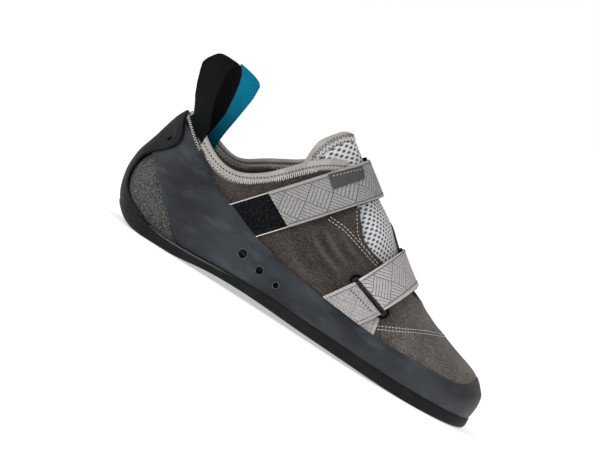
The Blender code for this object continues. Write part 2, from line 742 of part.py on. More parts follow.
def make_tongue():
    """Padded mesh tongue, with a soft binding along its tip."""
    slab = Slab(TONGUE_LEAN, 0)
    shares = spread(-1, 1, 18)

    def line(start, end, steps):
        rows = []
        for k in range(steps + 1):
            row = []
            for share in shares:
                side = LATERAL if share <= 0 else MEDIAL
                t = mix(1, TONGUE_EDGE, abs(share))
                tip = read(TONGUE_TIP, TONGUE_TIP_COLUMNS, "across", abs(share))
                across = mix(start + tip, tip + end if end < TONGUE_FRONT else TONGUE_FRONT, k / steps)
                s = slab.s_at(side, t, across)
                row.append(skin(side, s, t, tongue_lift(side, s, t)))
            rows.append(row)
        return rows

    mesh_rows = line(TONGUE_BINDING_WIDTH + 2 * GAP, TONGUE_FRONT, 12)
    thicken(loft("tongue", mesh_rows, "mesh"), TONGUE_WALL, -1)
    edge_rows = line(0, TONGUE_BINDING_WIDTH, 2)
    edge = thicken(loft("tongue_binding", edge_rows, "binding"), TONGUE_BINDING_WALL, -1)
    soften(edge, 0.9)


def flat(vector):
    return Vector((vector.x, vector.y, 0)).normalized()


def walk(place, s, distance):
    """The rib number reached by walking a distance along a line of the shoe, place(s)."""
    step = 0.004 if distance > 0 else -0.004
    gone = 0.0
    while gone < abs(distance):
        stride = (place(s + step) - place(s)).length
        s += step * min(1.0, (abs(distance) - gone) / stride)
        gone += stride
    return s


def make_heel_loops():
    """Two webbing loops that stand on the collar beside the heel, to pull the shoe on by."""
    for name, side, middle, top, lean, finish in LOOPS:
        def rim_at(s, lift):
            return skin(side, s, rib(side, s).t_at(rim_z(side, s) + BINDING_HEIGHT + GAP), lift)

        centre = rim_at(middle, -BINDING_IN / 2)
        out = flat(rim_at(middle, 1) - rim_at(middle, 0))
        along = Vector((-out.y, out.x, 0)) * side
        rows = []
        for across in spread(-LOOP_WIDTH / 2, LOOP_WIDTH / 2, 4):
            s = walk(lambda number: rim_at(number, 0), middle, across)
            here = rib(side, s)
            base = rim_z(side, s)
            held = spread(base - 6, base + BINDING_HEIGHT, 3)
            row = [skin(side, s, here.t_at(z), LOOP_INSIDE) for z in held]
            stand = rim_at(s, -BINDING_IN / 2)
            own_out = flat(rim_at(s, 1) - rim_at(s, 0))
            for reach, height in LOOP_FREE:
                curled = stand + own_out * reach
                level = centre - along * across + out * reach
                point = mix(curled, level, ease(height * 3))
                point.x -= lean * ease(height)
                point.z = mix(base + BINDING_HEIGHT + 1, top, height)
                row.append(point)
            row += [skin(side, s, here.t_at(z), LOOP_OUTSIDE)
                    for z in spread(base + BINDING_HEIGHT, base, 2)]
            rows.append(row)
        thicken(loft(name, rows, finish), LOOP_WALL, 0)


def build():
    wrap = make_heel_wrap()
    make_sole(wrap)
    make_insole()
    make_upper()
    make_rand()
    make_collar_binding()
    make_tongue()
    make_upper_strap()
    make_lower_strap()
    make_heel_loops()


def start_scene():
    for obj in list(bpy.data.objects):
        bpy.data.objects.remove(obj)
    for name in ("climbing shoe", "cutters"):
        bpy.context.scene.collection.children.link(bpy.data.collections.new(name))
    shoe = bpy.data.objects.new("shoe", None)
    shoe.location = (-SHOE_MIDDLE[0] * MM, -SHOE_MIDDLE[1] * MM, TREAD_DROP * MM)
    bpy.data.collections["climbing shoe"].objects.link(shoe)


start_scene()
build()
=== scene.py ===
"""Looks of the climbing shoe: suede, rubber, webbing and thread, with its floor, light and camera.

Sizes are millimetres as the shoemaker counts them: x forward from the middle of the heel's tread,
y towards the big toe's side, z up. Each soft piece is grown from the solid that it stands for, and
lines that the photograph shows are given by x and by their height as the camera sees it.
"""

import math

import bpy
import numpy as np
from mathutils import Matrix, Vector
from mathutils.bvhtree import BVHTree


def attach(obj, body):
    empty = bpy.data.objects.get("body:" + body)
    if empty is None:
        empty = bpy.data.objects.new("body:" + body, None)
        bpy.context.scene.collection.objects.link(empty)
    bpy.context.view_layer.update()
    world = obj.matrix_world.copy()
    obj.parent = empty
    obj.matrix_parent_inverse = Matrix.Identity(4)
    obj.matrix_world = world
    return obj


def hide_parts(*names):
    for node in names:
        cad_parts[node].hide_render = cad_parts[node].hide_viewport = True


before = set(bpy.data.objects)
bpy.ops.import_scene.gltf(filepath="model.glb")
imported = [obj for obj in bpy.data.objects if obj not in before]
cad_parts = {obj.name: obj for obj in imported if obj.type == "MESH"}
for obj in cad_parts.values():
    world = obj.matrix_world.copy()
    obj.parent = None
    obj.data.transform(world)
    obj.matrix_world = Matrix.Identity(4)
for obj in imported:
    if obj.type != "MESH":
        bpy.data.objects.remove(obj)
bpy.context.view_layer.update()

MM = 0.001
HEEL_MIDDLE = Vector((-88.23, 1.1, 1.2))
MEDIAL = 1

# The photograph's view: its middle, its width on the shoe, its roll and its height over the floor
VIEW_MIDDLE = (70.05, 0.0, 49.9)
VIEW_WIDTH = 388.2
VIEW_ROLL = math.radians(31.9)
VIEW_RISE = math.radians(4.5)
VIEW_DISTANCE = 2200.0
NEAR_SIDE = -38.0
SKY_LIGHT = 0.55

# How the straps lie: the lean of their planes and the offset of their middle
UPPER_STRAP = (48.9, -3.1)
LOWER_STRAP = (63.7, 94.3)
ANCHOR = (55.4, 80.4)
ANCHOR_BASE = (101.0, 131.8)
TONGUE = (58.0, 0.0)

# The height that straps turn round, the webbing, and the pile patch's reach: middle, and more above
FOOT_MIDDLE = 42.0
STRAP_WIDTH = 25.5
HEM_WIDTH = 2.0
PATCH_REACH = (3.8, 0.4)

# Seams and trim that the photograph shows on the lateral side, as (x, height seen)
THROAT_EDGE = ((90.5, 90.0), (93, 87), (96, 82.5), (100, 77.0), (105, 72.3), (111, 69.6), (124, 66.5))
THROAT_SEAM = ((91.5, 87.5), (95.5, 81.5), (100, 75), (106, 70.8), (113, 68.2))
QUARTER_SEAM = ((79, 73.5), (90, 73), (98, 71.2), (107, 68.6), (115, 66.2), (122, 64.2))
TOE_SEAM = ((142, 30.0), (151, 34), (160, 38), (170, 43), (179, 46.6), (184, 47.4))
HEEL_ZIGZAG = ((-32.5, 81.0), (-27, 76.0), (-21, 71.2), (-14.8, 66.8))
BADGE_CORNERS = ((63.6, 96.8), (79.3, 113.2), (85.1, 107.3), (71.7, 90.3))
BADGE_SEAM = ((66.6, 97.4), (73.5, 104.6), (80.0, 111.2))
ANCHOR_FOOT = ((96, 29.5), (120, 27.5), (146, 25.5))
ANCHOR_HOLES = ((114.6, 41.8), (124, 39.4), (133.8, 37.0))
RING_SLOT = ((115.2, 48.0), (127.7, 44.3), (140.4, 40.3))

# The medial side: the toe seam's axis (y and z in metres), the throat's edge, and the flap beside it
TOE_MIDDLE = (0.005, 0.015)
MEDIAL_THROAT = ((95, 91.5), (103, 87), (113, 81), (124, 74.5))
FACING_X = (104, 110, 114, 120, 128, 138)
FACING_INNER_Y = (18.5, 12.5, 8.5, 5.0, 3.0, 2.0)
FACING_OUTER_Y = (21.5, 20.0, 19.0, 17.5, 15.5, 13.5)

# The fuller form of leather and rubber, as (place, distance), and the zones that it eases in over
TOE_REACH = 2.8
TOE_LIFT = ((150, 0.0), (176, 0.5), (200, 0.9), (212, 1.7), (226, 2.2))
HEEL_REACH = ((0, 0.0), (5, 1.2), (9, 2.7), (13, 3.9), (17, 4.0), (25, 3.4), (33, 3.0), (41, 2.2),
              (49, 1.7), (57, 2.5), (65, 3.7), (72, 3.8), (78, 3.3), (83, 2.7), (88, 1.9), (95, 1.2),
              (108, 1.7), (118, 2.4), (132, 2.4))
HEEL_LIFT = ((-40, 1.8), (-30, 1.8), (-20, 1.0), (-8, 0.2), (2, 0.0))
MEDIAL_LIFT = ((2, 0.0), (8, 0.2), (14, 1.1), (20, 1.9), (26, 1.9), (32, 1.2), (40, 0.5), (48, 0.0))
SOLE_DROP = ((-26, 0.0), (-16, 1.6), (-4, 3.5), (14, 3.7), (28, 3.2), (50, 1.8), (70, 0.0))
TOE_ZONE = (180, 218)
HEEL_ZONE = (-16, -33)
MEDIAL_ZONE = (-6, 6)
ABOVE_RAND = (14, 28)
COLLAR_FOOT = (62, 76)
COLLAR_TOP = (96, 86)
TREAD = (1, 11)
SOLE_SIDE_TOP = (22, 13)

# Where the suede grows paler towards the toe
TOE_TONE = (130, 164)

# The rand's upper edge, how far it is drawn up there, and the sole's upper edge, seen from the side
RAND_TOP_X = (-45, -38, -25, -14, -6, 2, 18, 45, 75, 100, 140, 178, 200, 212, 221)
RAND_TOP_Z = (72, 70, 66.5, 63.5, 60.5, 56.5, 48, 37.5, 31, 27.3, 24, 23, 23.6, 26.6, 30.8)
RAND_REACH_X = (-45, -30, -15, -4, 4, 12, 24, 190, 212)
RAND_REACH = (2.5, 3.5, 3.4, 0.6, -2.0, -1.2, 1.0, 1.5, 0.0)
SOLE_TOP_X = (40, 50, 70, 100, 115, 155, 175, 224)
SOLE_TOP_Z = (10.2, 10.5, 10.2, 9.5, 9.2, 8.0, 7.4, 7.0)

# Vents of the rand, as (x, height seen, width), then the heel wrap's vent, its corner and its drawn edges
VENTS = ((44.2, 24.7, 5.9), (59.1, 21.2, 5.1), (73.0, 18.6, 4.0))
WRAP_VENT = (-36.0, 65.0)
WRAP_VENT_SHIFT = (4.6, -1.2)
WRAP_CORNER = (-26.5, 63.2)
WRAP_DRAWN = ((-29.0, 65.5, 1.7, -1.5), (-36.5, 55.0, 0.4, -2.6))

# Collar, tongue and pull loops
COLLAR_MIDDLE = 15.0
COLLAR_FRONT = 46.0
COLLAR_NEEDLE = 2.6
COLLAR_FLANGE = 4.0
TONGUE_MESH_END = 141.0
TONGUE_ARCH = (48.0, 108.0)
TONGUE_ARCH_SHIFT = (-2.4, 0.0, 1.2)
LOOP_FOOT = 16.0

# Stitches, as pitch, length and width, and the two rows of a double seam
SEAM_STITCH = (2.6, 1.9, 0.5)
TOE_STITCH = (2.4, 1.9, 0.65)
HEM_STITCH = (2.2, 1.5, 0.6)
BADGE_STITCH = (2.4, 1.5, 0.5)
NEEDLE_STITCH = (2.3, 1.2, 0.9)
NEEDLE_HOLE = (2.2, 1.2, 1.0)
COLLAR_OVERLOCK = (1.35, 3.2, 0.8)
TONGUE_OVERLOCK = (1.5, 3.2, 0.9)
ZIGZAG_STITCH = (0.95, 2.6, 0.5)
ZIGZAG_SHADOW = (0.95, 3.2, 0.7)
SEAM_PAIR = (-1.1, 1.1)

# Soft folds of the suede on the quarter and vamp: start, end, depth and half-width
FOLDS = (
    ((76, 62.5), (110, 49.5), 1.1, 2.6),
    ((84, 67.5), (114, 55), 0.8, 2.4),
    ((70, 56.5), (104, 43.5), 0.9, 2.8),
    ((66, 50), (96, 38.5), 0.6, 3.0),
    ((150, 50), (178, 36), 0.35, 5.0),
    ((160, 53), (190, 38), 0.3, 5.0),
)


def place(x, y, z):
    """A point in shoe sizes, in the frame."""
    return (Vector((x, y, z)) + HEEL_MIDDLE) * MM


def in_sizes(points):
    """Points of the frame, in shoe sizes."""
    return np.asarray(points, float) / MM - np.array(HEEL_MIDDLE)


def from_sizes(points):
    """Points in shoe sizes, in the frame."""
    return (np.asarray(points, float) + np.array(HEEL_MIDDLE)) * MM


def ease(share):
    """A share from 0 to 1, with a soft start and a soft end."""
    share = np.clip(share, 0.0, 1.0)
    return share * share * (3 - 2 * share)


def ramp(value, start, end):
    """Eased from 0 at the start to 1 at the end."""
    return ease((value - start) / (end - start))


def bell(off, width):
    """1 in the middle, and next to nothing at twice the width."""
    return np.exp(-(off / width) ** 2)


def fill_out(points):
    """Stretches leather and rubber to the worn form: a fuller toe, heel and collar, a lower sole edge."""
    x, y, z = points.T
    fuller = points.copy()
    fuller[:, 0] += TOE_REACH * ramp(x, *TOE_ZONE)
    fuller[:, 0] -= profile(HEEL_REACH, z) * ramp(x, *HEEL_ZONE)
    fuller[:, 2] += profile(TOE_LIFT, x) * ramp(z, *ABOVE_RAND)
    collar = profile(HEEL_LIFT, x) + profile(MEDIAL_LIFT, x) * ramp(y, *MEDIAL_ZONE)
    fuller[:, 2] += collar * ramp(z, *COLLAR_FOOT) * ramp(z, *COLLAR_TOP)
    fuller[:, 2] -= profile(SOLE_DROP, x) * ramp(z, *TREAD) * ramp(z, *SOLE_SIDE_TOP)
    return fuller


# Handling of pieces


def pick(piece):
    """Makes a piece the only one selected."""
    bpy.ops.object.select_all(action="DESELECT")
    piece.select_set(True)
    bpy.context.view_layer.objects.active = piece


def add_piece(name, data):
    """Puts a new object into the scene."""
    piece = bpy.data.objects.new(name, data)
    bpy.context.scene.collection.objects.link(piece)
    return piece


def apply(piece, kind, **settings):
    """Adds a modifier to a piece and applies it."""
    pick(piece)
    change = piece.modifiers.new(kind.lower(), kind)
    for name, value in settings.items():
        setattr(change, name, value)
    bpy.ops.object.modifier_apply(modifier=change.name)


def grown_from(node, name, rounds=2, firm=0.5, sharp=50):
    """A smooth copy of a solid: faces joined, sharp edges kept firm, then rounded off."""
    piece = add_piece(name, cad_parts[node].data.copy())
    piece.data.materials.clear()
    pick(piece)
    bpy.ops.object.mode_set(mode="EDIT")
    bpy.ops.mesh.select_all(action="SELECT")
    bpy.ops.mesh.remove_doubles(threshold=0.00001)
    bpy.ops.mesh.tris_convert_to_quads(face_threshold=math.radians(60), shape_threshold=math.radians(60))
    bpy.ops.mesh.select_all(action="DESELECT")
    bpy.ops.mesh.edges_select_sharp(sharpness=math.radians(sharp))
    bpy.ops.transform.edge_crease(value=firm)
    bpy.ops.object.mode_set(mode="OBJECT")
    apply(piece, "SUBSURF", levels=rounds, render_levels=rounds)
    set_points(piece, from_sizes(fill_out(sizes_of(piece))))
    return piece


def dress(piece, finish, slot=None, *nodes):
    """Gives a piece its finish and its place in the frame."""
    piece.data.materials.append(finish)
    pick(piece)
    bpy.ops.object.shade_smooth_by_angle(angle=math.radians(60))
    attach(piece, "root")
    if nodes:
        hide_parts(*nodes)
    return piece


def points_of(piece):
    flat = np.zeros(len(piece.data.vertices) * 3)
    piece.data.vertices.foreach_get("co", flat)
    return flat.reshape(-1, 3)


def sizes_of(piece):
    """The points of a piece, in shoe sizes."""
    return in_sizes(points_of(piece))


def normals_of(piece):
    flat = np.zeros(len(piece.data.vertices) * 3)
    piece.data.vertex_normals.foreach_get("vector", flat)
    return flat.reshape(-1, 3)


def set_points(piece, points):
    piece.data.vertices.foreach_set("co", np.asarray(points, float).ravel())
    piece.data.update()


def push(piece, heights):
    """Moves each point of a piece along its normal, in millimetres."""
    set_points(piece, points_of(piece) + normals_of(piece) * (heights * MM)[:, None])


def soften(piece, name, weights, rounds):
    """Smooths a piece where the weights say, under a name of its own."""
    group = piece.vertex_groups.new(name=name)
    for index in np.nonzero(weights)[0]:
        group.add([int(index)], float(weights[index]), "REPLACE")
    apply(piece, "SMOOTH", factor=0.5, iterations=rounds, vertex_group=name)


def note(piece, name, values):
    """Keeps a number for each point of a piece, for its finish to read."""
    layer = piece.data.attributes.new(name, "FLOAT", "POINT")
    layer.data.foreach_set("value", np.asarray(values, np.float32))


def lay_out(piece, along, across):
    """Gives a piece its own flat pattern in millimetres, along and across the cloth."""
    layer = piece.data.uv_layers.new(name="cloth")
    corners = np.zeros(len(piece.data.loops), np.int32)
    piece.data.loops.foreach_get("vertex_index", corners)
    flat = np.stack([np.asarray(along)[corners], np.asarray(across)[corners]], 1)
    layer.uv.foreach_set("vector", flat.astype(np.float32).ravel())


# Lines and surfaces


def smooth_line(rows, steps=8):
    """A curve through a few rows, with even steps between them."""
    rows = np.array(rows, float)
    ends = np.vstack([2 * rows[0] - rows[1], rows, 2 * rows[-1] - rows[-2]])
    line = []
    for k in range(1, len(ends) - 2):
        a, b, c, d = ends[k - 1:k + 3]
        for share in np.linspace(0, 1, steps, endpoint=False):
            bow = (2 * b + (c - a) * share + (2 * a - 5 * b + 4 * c - d) * share ** 2
                   + (3 * b - a - 3 * c + d) * share ** 3)
            line.append(bow / 2)
    return np.array(line + [rows[-1]])


def profile(rows, places):
    """The second number of some rows, read smoothly at other places."""
    line = smooth_line(rows)
    return np.interp(places, line[:, 0], line[:, 1])


def line_distance(points, line):
    """For each point, how far it lies from a line and the share of the line that is nearest."""
    nearest = np.full(len(points), 1e9)
    share = np.zeros(len(points))
    steps = len(line) - 1
    for k in range(steps):
        way = line[k + 1] - line[k]
        t = np.clip((points - line[k]) @ way / max(way @ way, 1e-12), 0, 1)
        off = np.linalg.norm(points - line[k] - t[:, None] * way, axis=1)
        closer = off < nearest
        nearest[closer] = off[closer]
        share[closer] = (k + t[closer]) / steps
    return nearest, share


class Surface:
    """A finished piece's surface, to sew and lay things on."""

    def __init__(self, *pieces):
        self.trees = []
        for piece in pieces:
            points = [corner.co for corner in piece.data.vertices]
            faces = [tuple(face.vertices) for face in piece.data.polygons]
            self.trees.append(BVHTree.FromPolygons(points, faces))

    def ray(self, start, way):
        """The first point that a ray meets, and its normal."""
        hits = [tree.ray_cast(start, way) for tree in self.trees]
        hits = [hit for hit in hits if hit[0] is not None]
        return min(hits, key=lambda hit: hit[3])[:2] if hits else None

    def seen(self, x, height):
        """The point that the photograph shows at this place."""
        start = -200.0
        z = (height - (start - NEAR_SIDE) * math.sin(VIEW_RISE)) / math.cos(VIEW_RISE)
        return self.ray(place(x, start, z), Vector((0, math.cos(VIEW_RISE), -math.sin(VIEW_RISE))))

    def from_side(self, side, x, z):
        """The point met straight in from one side."""
        return self.ray(place(x, side * 200, z), Vector((0, -side, 0)))

    def near(self, point):
        """The nearest point and its normal."""
        found = [tree.find_nearest(point) for tree in self.trees]
        return min((hit for hit in found if hit[0] is not None), key=lambda hit: hit[3])[:2]

    def seen_line(self, rows):
        return [hit for hit in (self.seen(x, z) for x, z in smooth_line(rows)) if hit]

    def side_line(self, side, rows):
        return [hit for hit in (self.from_side(side, x, z) for x, z in smooth_line(rows)) if hit]

    def laid(self, points):
        """A line of loose points, laid on the surface."""
        return [self.near(Vector(point)) for point in smooth_line(points, 4)]

    def beside(self, line, offset, toward=(0, 0, 1)):
        """The same line, shifted sideways along the surface in short strides."""
        strides = max(1, round(offset))
        for _ in range(strides):
            points = [hit[0] for hit in line]
            shifted = []
            for k, (point, normal) in enumerate(line):
                ahead = points[min(k + 1, len(points) - 1)] - points[max(k - 1, 0)]
                aside = normal.cross(ahead).normalized()
                if aside.dot(Vector(toward)) < 0:
                    aside = -aside
                shifted.append(self.near(point + aside * offset / strides * MM))
            line = shifted
        return line


def over(surface, points):
    """For each point, the nearest point of a surface, its normal, and the height over it in mm."""
    feet, ways = zip(*(surface.near(Vector(point)) for point in points))
    feet, ways = np.array(feet), np.array(ways)
    return feet, ways, ((points - feet) * ways).sum(1) / MM


class Lap:
    """The way of a strap over the foot: across it, and turning from the lateral side to the medial."""

    def __init__(self, lean, middle, hub_height=FOOT_MIDDLE):
        angle = math.radians(lean)
        self.across = np.array((math.sin(angle), 0, -math.cos(angle)))
        self.up = np.array((math.cos(angle), 0, math.sin(angle)))
        self.middle = middle
        self.hub = (hub_height + middle * math.cos(angle)) / math.sin(angle)

    def measure(self, piece):
        """Along and across the strap at each point of a piece, in millimetres."""
        points = sizes_of(piece)
        along = along_the_turn(points @ self.up - self.hub, points[:, 1])
        return along, points @ self.across - self.middle

    def hit(self, surface, across, turn):
        """The strap's outer face at one distance across it and one turn in degrees."""
        turn = math.radians(turn)
        centre = self.across * (self.middle + across) + self.up * self.hub
        way = np.array((0, -math.cos(turn), 0)) + self.up * math.sin(turn)
        return surface.ray(place(*(centre + way * 150)), Vector(-way))

    def line(self, surface, across, start, end, steps=60):
        """A line along the strap at one distance across it, from one turn to another in degrees."""
        found = [self.hit(surface, across, turn) for turn in np.linspace(start, end, steps)]
        return [hit for hit in found if hit]


def along_the_turn(reach, rise, bins=48):
    """The length along a band of cloth that turns round a hub, from its start to each of its points."""
    turn = np.arctan2(rise, reach)
    edges = np.linspace(turn.min(), turn.max() + 1e-6, bins + 1)
    which = np.digitize(turn, edges) - 1
    full = [k for k in range(bins) if (which == k).any()]
    middle = np.array([(reach[which == k].mean(), rise[which == k].mean()) for k in full])
    length = np.concatenate([[0], np.cumsum(np.linalg.norm(np.diff(middle, axis=0), axis=1))])
    return np.interp(turn, [(edges[k] + edges[k + 1]) / 2 for k in full], length)


# Thread


def even_steps(line, pitch):
    """Points, directions and normals at even steps along a line on a surface."""
    points = np.array([hit[0] for hit in line])
    normals = np.array([hit[1] for hit in line])
    length = np.concatenate([[0], np.cumsum(np.linalg.norm(np.diff(points, axis=0), axis=1))])
    stops = np.arange(pitch / 2, length[-1] / MM, pitch) * MM

    def at(values, where):
        return np.stack([np.interp(where, length, values[:, k]) for k in range(3)], 1)

    ahead = at(points, stops + 0.3 * MM) - at(points, stops - 0.3 * MM)
    ahead /= np.linalg.norm(ahead, axis=1)[:, None]
    out = at(normals, stops)
    out /= np.linalg.norm(out, axis=1)[:, None]
    return at(points, stops), ahead, out


def stitch_shape():
    """One stitch, a small rounded grain of thread one unit long."""
    bpy.ops.object.select_all(action="DESELECT")
    bpy.ops.mesh.primitive_uv_sphere_add(segments=6, ring_count=4, radius=0.5)
    grain = bpy.context.object
    grain.data.transform(Matrix.Rotation(math.pi / 2, 4, "Y"))
    points = np.array([v.co for v in grain.data.vertices])
    faces = [list(face.vertices) for face in grain.data.polygons]
    bpy.data.objects.remove(grain)
    return points, faces


STITCH_POINTS, STITCH_FACES = stitch_shape()


def sew(name, lines, finish, pitch, length, width, lean=0.0, turns=(1, -1), sunk=0.1, slot=None):
    """Rows of stitches along lines on the shoe. lean turns them off the line, each way in turn."""
    points, faces = [], []
    for line in lines:
        places, ahead, out = even_steps(line, pitch)
        beside = np.cross(out, ahead)
        for k, centre in enumerate(places):
            turn = math.radians(lean) * turns[k % len(turns)]
            way = ahead[k] * math.cos(turn) + beside[k] * math.sin(turn)
            flank = np.cross(out[k], way)
            grain = STITCH_POINTS * (length * MM, width * MM, width * 0.8 * MM)
            body = centre + out[k] * (width * 0.4 - sunk) * MM
            first = len(points) * len(STITCH_POINTS)
            points.append(body + grain @ np.stack([way, flank, out[k]]))
            faces += [[first + corner for corner in face] for face in STITCH_FACES]
    mesh = bpy.data.meshes.new(name)
    mesh.from_pydata(np.concatenate(points), [], faces)
    return dress(add_piece(name, mesh), finish, slot)


def piping(name, lines, finish, width, slot=None, sunk=0.3, step=1.5):
    """Round edging along lines on the shoe."""
    curve = bpy.data.curves.new(name, "CURVE")
    curve.dimensions = "3D"
    curve.bevel_depth = width / 2 * MM
    curve.bevel_resolution = 2
    curve.use_fill_caps = True
    for line in lines:
        places, _, out = even_steps(line, step)
        spline = curve.splines.new("POLY")
        spline.points.add(len(places) - 1)
        for knot, point in zip(spline.points, places + out * (width / 2 - sunk) * MM):
            knot.co = (*point, 1)
    pick(add_piece(name, curve))
    bpy.ops.object.convert(target="MESH")
    return dress(bpy.context.object, finish, slot)


# Finishes


def shade(red, green, blue):
    """A colour given as a screen shows it, 0 to 255."""
    def straight(value):
        value /= 255
        return value / 12.92 if value <= 0.04045 else ((value + 0.055) / 1.055) ** 2.4
    return (straight(red), straight(green), straight(blue), 1.0)


class Finish:
    """A material grown node by node on its own shader."""

    def __init__(self, name, **constants):
        self.material = bpy.data.materials.new(name)
        self.material.use_nodes = True
        self.tree = self.material.node_tree
        self.shader = self.tree.nodes["Principled BSDF"]
        for socket, value in constants.items():
            self.shader.inputs[socket.replace("_", " ")].default_value = value
        self.place = self.node("TexCoord", {}).outputs["Object"]
        self.relief_below = None

    def node(self, kind, inputs, **settings):
        """A new node with its inputs joined or set."""
        made = self.tree.nodes.new("ShaderNode" + kind)
        for name, value in settings.items():
            setattr(made, name, value)
        for socket, value in inputs.items():
            self.join(value, made.inputs[socket])
        return made

    def join(self, value, socket):
        if isinstance(value, bpy.types.NodeSocket):
            self.tree.links.new(value, socket)
        else:
            socket.default_value = value

    def math(self, operation, *values):
        return self.node("Math", dict(enumerate(values)), operation=operation).outputs[0]

    def noise(self, grain, detail=2.0, stretch=None):
        """Cloudy grain of about this size in millimetres."""
        where = self.place
        if stretch:
            where = self.node("Mapping", {"Vector": where, "Scale": stretch}).outputs[0]
        inputs = {"Vector": where, "Scale": 1 / (grain * MM), "Detail": detail}
        return self.node("TexNoise", inputs).outputs["Fac"]

    def band(self, value, low, high):
        """0 below low, 1 above high, eased between."""
        inputs = {"Value": value, "From Min": low, "From Max": high}
        return self.node("MapRange", inputs, interpolation_type="SMOOTHSTEP").outputs[0]

    def between(self, share, low, high):
        """A colour from low to high."""
        return self.node("Mix", {0: share, 6: low, 7: high}, data_type="RGBA").outputs[2]

    def tint(self, base, share, strength, tone):
        """A colour with some of another over it."""
        return self.between(self.math("MULTIPLY", share, strength), base, tone)

    def noted(self, name):
        """A number that the piece keeps for each point."""
        return self.node("Attribute", {}, attribute_name=name).outputs["Fac"]

    def cloth(self):
        """Along and across the cloth, in millimetres."""
        flat = self.node("UVMap", {}, uv_map="cloth").outputs[0]
        parts = self.node("SeparateXYZ", {0: flat})
        return parts.outputs[0], parts.outputs[1]

    def colour(self, value):
        self.join(value, self.shader.inputs["Base Color"])

    def rough(self, value, low, high):
        inputs = {"Value": value, "To Min": low, "To Max": high}
        self.join(self.node("MapRange", inputs).outputs[0], self.shader.inputs["Roughness"])

    def relief(self, height, depth):
        """Raises the surface by height times depth, in millimetres, over what is there already."""
        inputs = {"Height": height, "Distance": depth * MM, "Strength": 1.0}
        if self.relief_below:
            inputs["Normal"] = self.relief_below
        self.relief_below = self.node("Bump", inputs).outputs[0]
        self.join(self.relief_below, self.shader.inputs["Normal"])


def grained(name, grain, detail, dark, light, depth=0.0, low=0.3, high=0.7, **constants):
    """A finish in two close tones of one grain, raised by a depth in millimetres."""
    made = Finish(name, **constants)
    cloud = made.noise(grain, detail)
    made.colour(made.between(made.band(cloud, low, high), dark, light))
    if depth:
        made.relief(cloud, depth)
    return made.material


def suede():
    """Brushed dark brown-grey suede: cloudy nap and fine fibres, with painted shade in the fold valleys, a
    painted highlight on the fold ridges and painted shade inside the rand's vents.
    """
    made = Finish("suede", Roughness=0.95, Specular_IOR_Level=0.1, Sheen_Weight=0.15, Sheen_Roughness=0.45)
    cloud = made.noise(14, 3.0, (1.0, 1.0, 1.6))
    fibre = made.noise(0.95, 3.0)
    nap = made.noise(2.0, 2.0, (0.7, 1, 1.5))
    quarter = made.between(made.band(cloud, 0.3, 0.72), shade(48, 43, 41), shade(66, 60, 58))
    toe = made.between(made.band(cloud, 0.3, 0.72), shade(76, 72, 69), shade(96, 92, 88))
    base = made.between(made.noted("toe"), quarter, toe)
    bright = made.between(made.noted("toe"), shade(98, 91, 88), shade(148, 143, 138))
    base = made.tint(base, made.band(fibre, 0.45, 0.7), 0.6, bright)
    base = made.tint(base, made.band(nap, 0.5, 0.8), 0.35, shade(44, 39, 37))
    # Painted shade in the valleys of the folds, and a painted highlight on the ridges beside them.
    base = made.tint(base, made.band(made.noted("fold"), 0.05, 0.9), 0.5, shade(32, 28, 27))
    base = made.tint(base, made.band(made.noted("fold"), -0.02, -0.4), 0.32, shade(108, 100, 97))
    # Inside the rand's vents the suede is painted near black: painted shade in the holes.
    depth = made.between(made.band(nap, 0.4, 0.65), shade(7, 8, 8), shade(48, 52, 51))
    base = made.between(made.noted("vent"), base, depth)
    made.colour(base)
    made.relief(nap, 0.35)
    made.relief(fibre, 0.25)
    return made.material


def heel_cloth():
    """Gritty grey cloth under the heel sling."""
    made = Finish("heel_cloth", Roughness=0.9, Specular_IOR_Level=0.2)
    grit = made.noise(0.5, 4.0)
    weave = made.noise(1.2, 2.0)
    base = made.between(made.band(grit, 0.42, 0.64), shade(26, 27, 27), shade(116, 117, 116))
    base = made.tint(base, made.band(weave, 0.5, 0.75), 0.5, shade(54, 55, 54))
    made.colour(base)
    made.relief(grit, 0.4)
    return made.material


def lining():
    """Soft dark lining inside the upper."""
    return grained("lining", 0.9, 3.0, shade(62, 55, 52), shade(96, 87, 82), 0.3,
                   Roughness=0.95, Specular_IOR_Level=0.15, Sheen_Weight=0.2)


def rand_rubber():
    """Slate rubber, smooth to the touch, with faint scuffs and finger marks, painted light on its toe and
    painted shade at the bottom of the heel wrap's vent.
    """
    made = Finish("rand_rubber")
    scuff = made.noise(15, 5.0, (0.6, 1.0, 1.5))
    fine = made.noise(0.9, 3.0)
    smear = made.noise(22, 2.5, (0.6, 1.0, 1.2))
    base = made.between(made.band(smear, 0.34, 0.66), shade(25, 28, 33), shade(49, 53, 57))
    # Paler towards the toe: painted light, as the toe faces away from the lamps.
    base = made.tint(base, made.noted("toe"), 0.4, shade(60, 63, 67))
    base = made.tint(base, made.band(scuff, 0.5, 0.75), 0.55, shade(74, 80, 86))
    base = made.tint(base, made.band(fine, 0.55, 0.8), 0.35, shade(70, 75, 80))
    # Under the heel wrap's vent the rand is painted near black and loses its shine: painted shade at the
    # bottom of the hole.
    made.colour(made.between(made.noted("vent"), base, shade(3, 3, 3)))
    shine = made.math("MULTIPLY_ADD", made.noted("vent"), -0.26, 0.26)
    made.join(shine, made.shader.inputs["Specular IOR Level"])
    made.rough(scuff, 0.42, 0.66)
    made.relief(fine, 0.05)
    made.relief(smear, 0.25)
    return made.material


def painted_rim_highlight():
    """Moulded rim round a vent, a little paler than the rand: a painted highlight."""
    return grained("vent_rim_painted_highlight", 2.0, 2.0, shade(52, 57, 61), shade(88, 94, 99),
                   Roughness=0.5, Specular_IOR_Level=0.3)


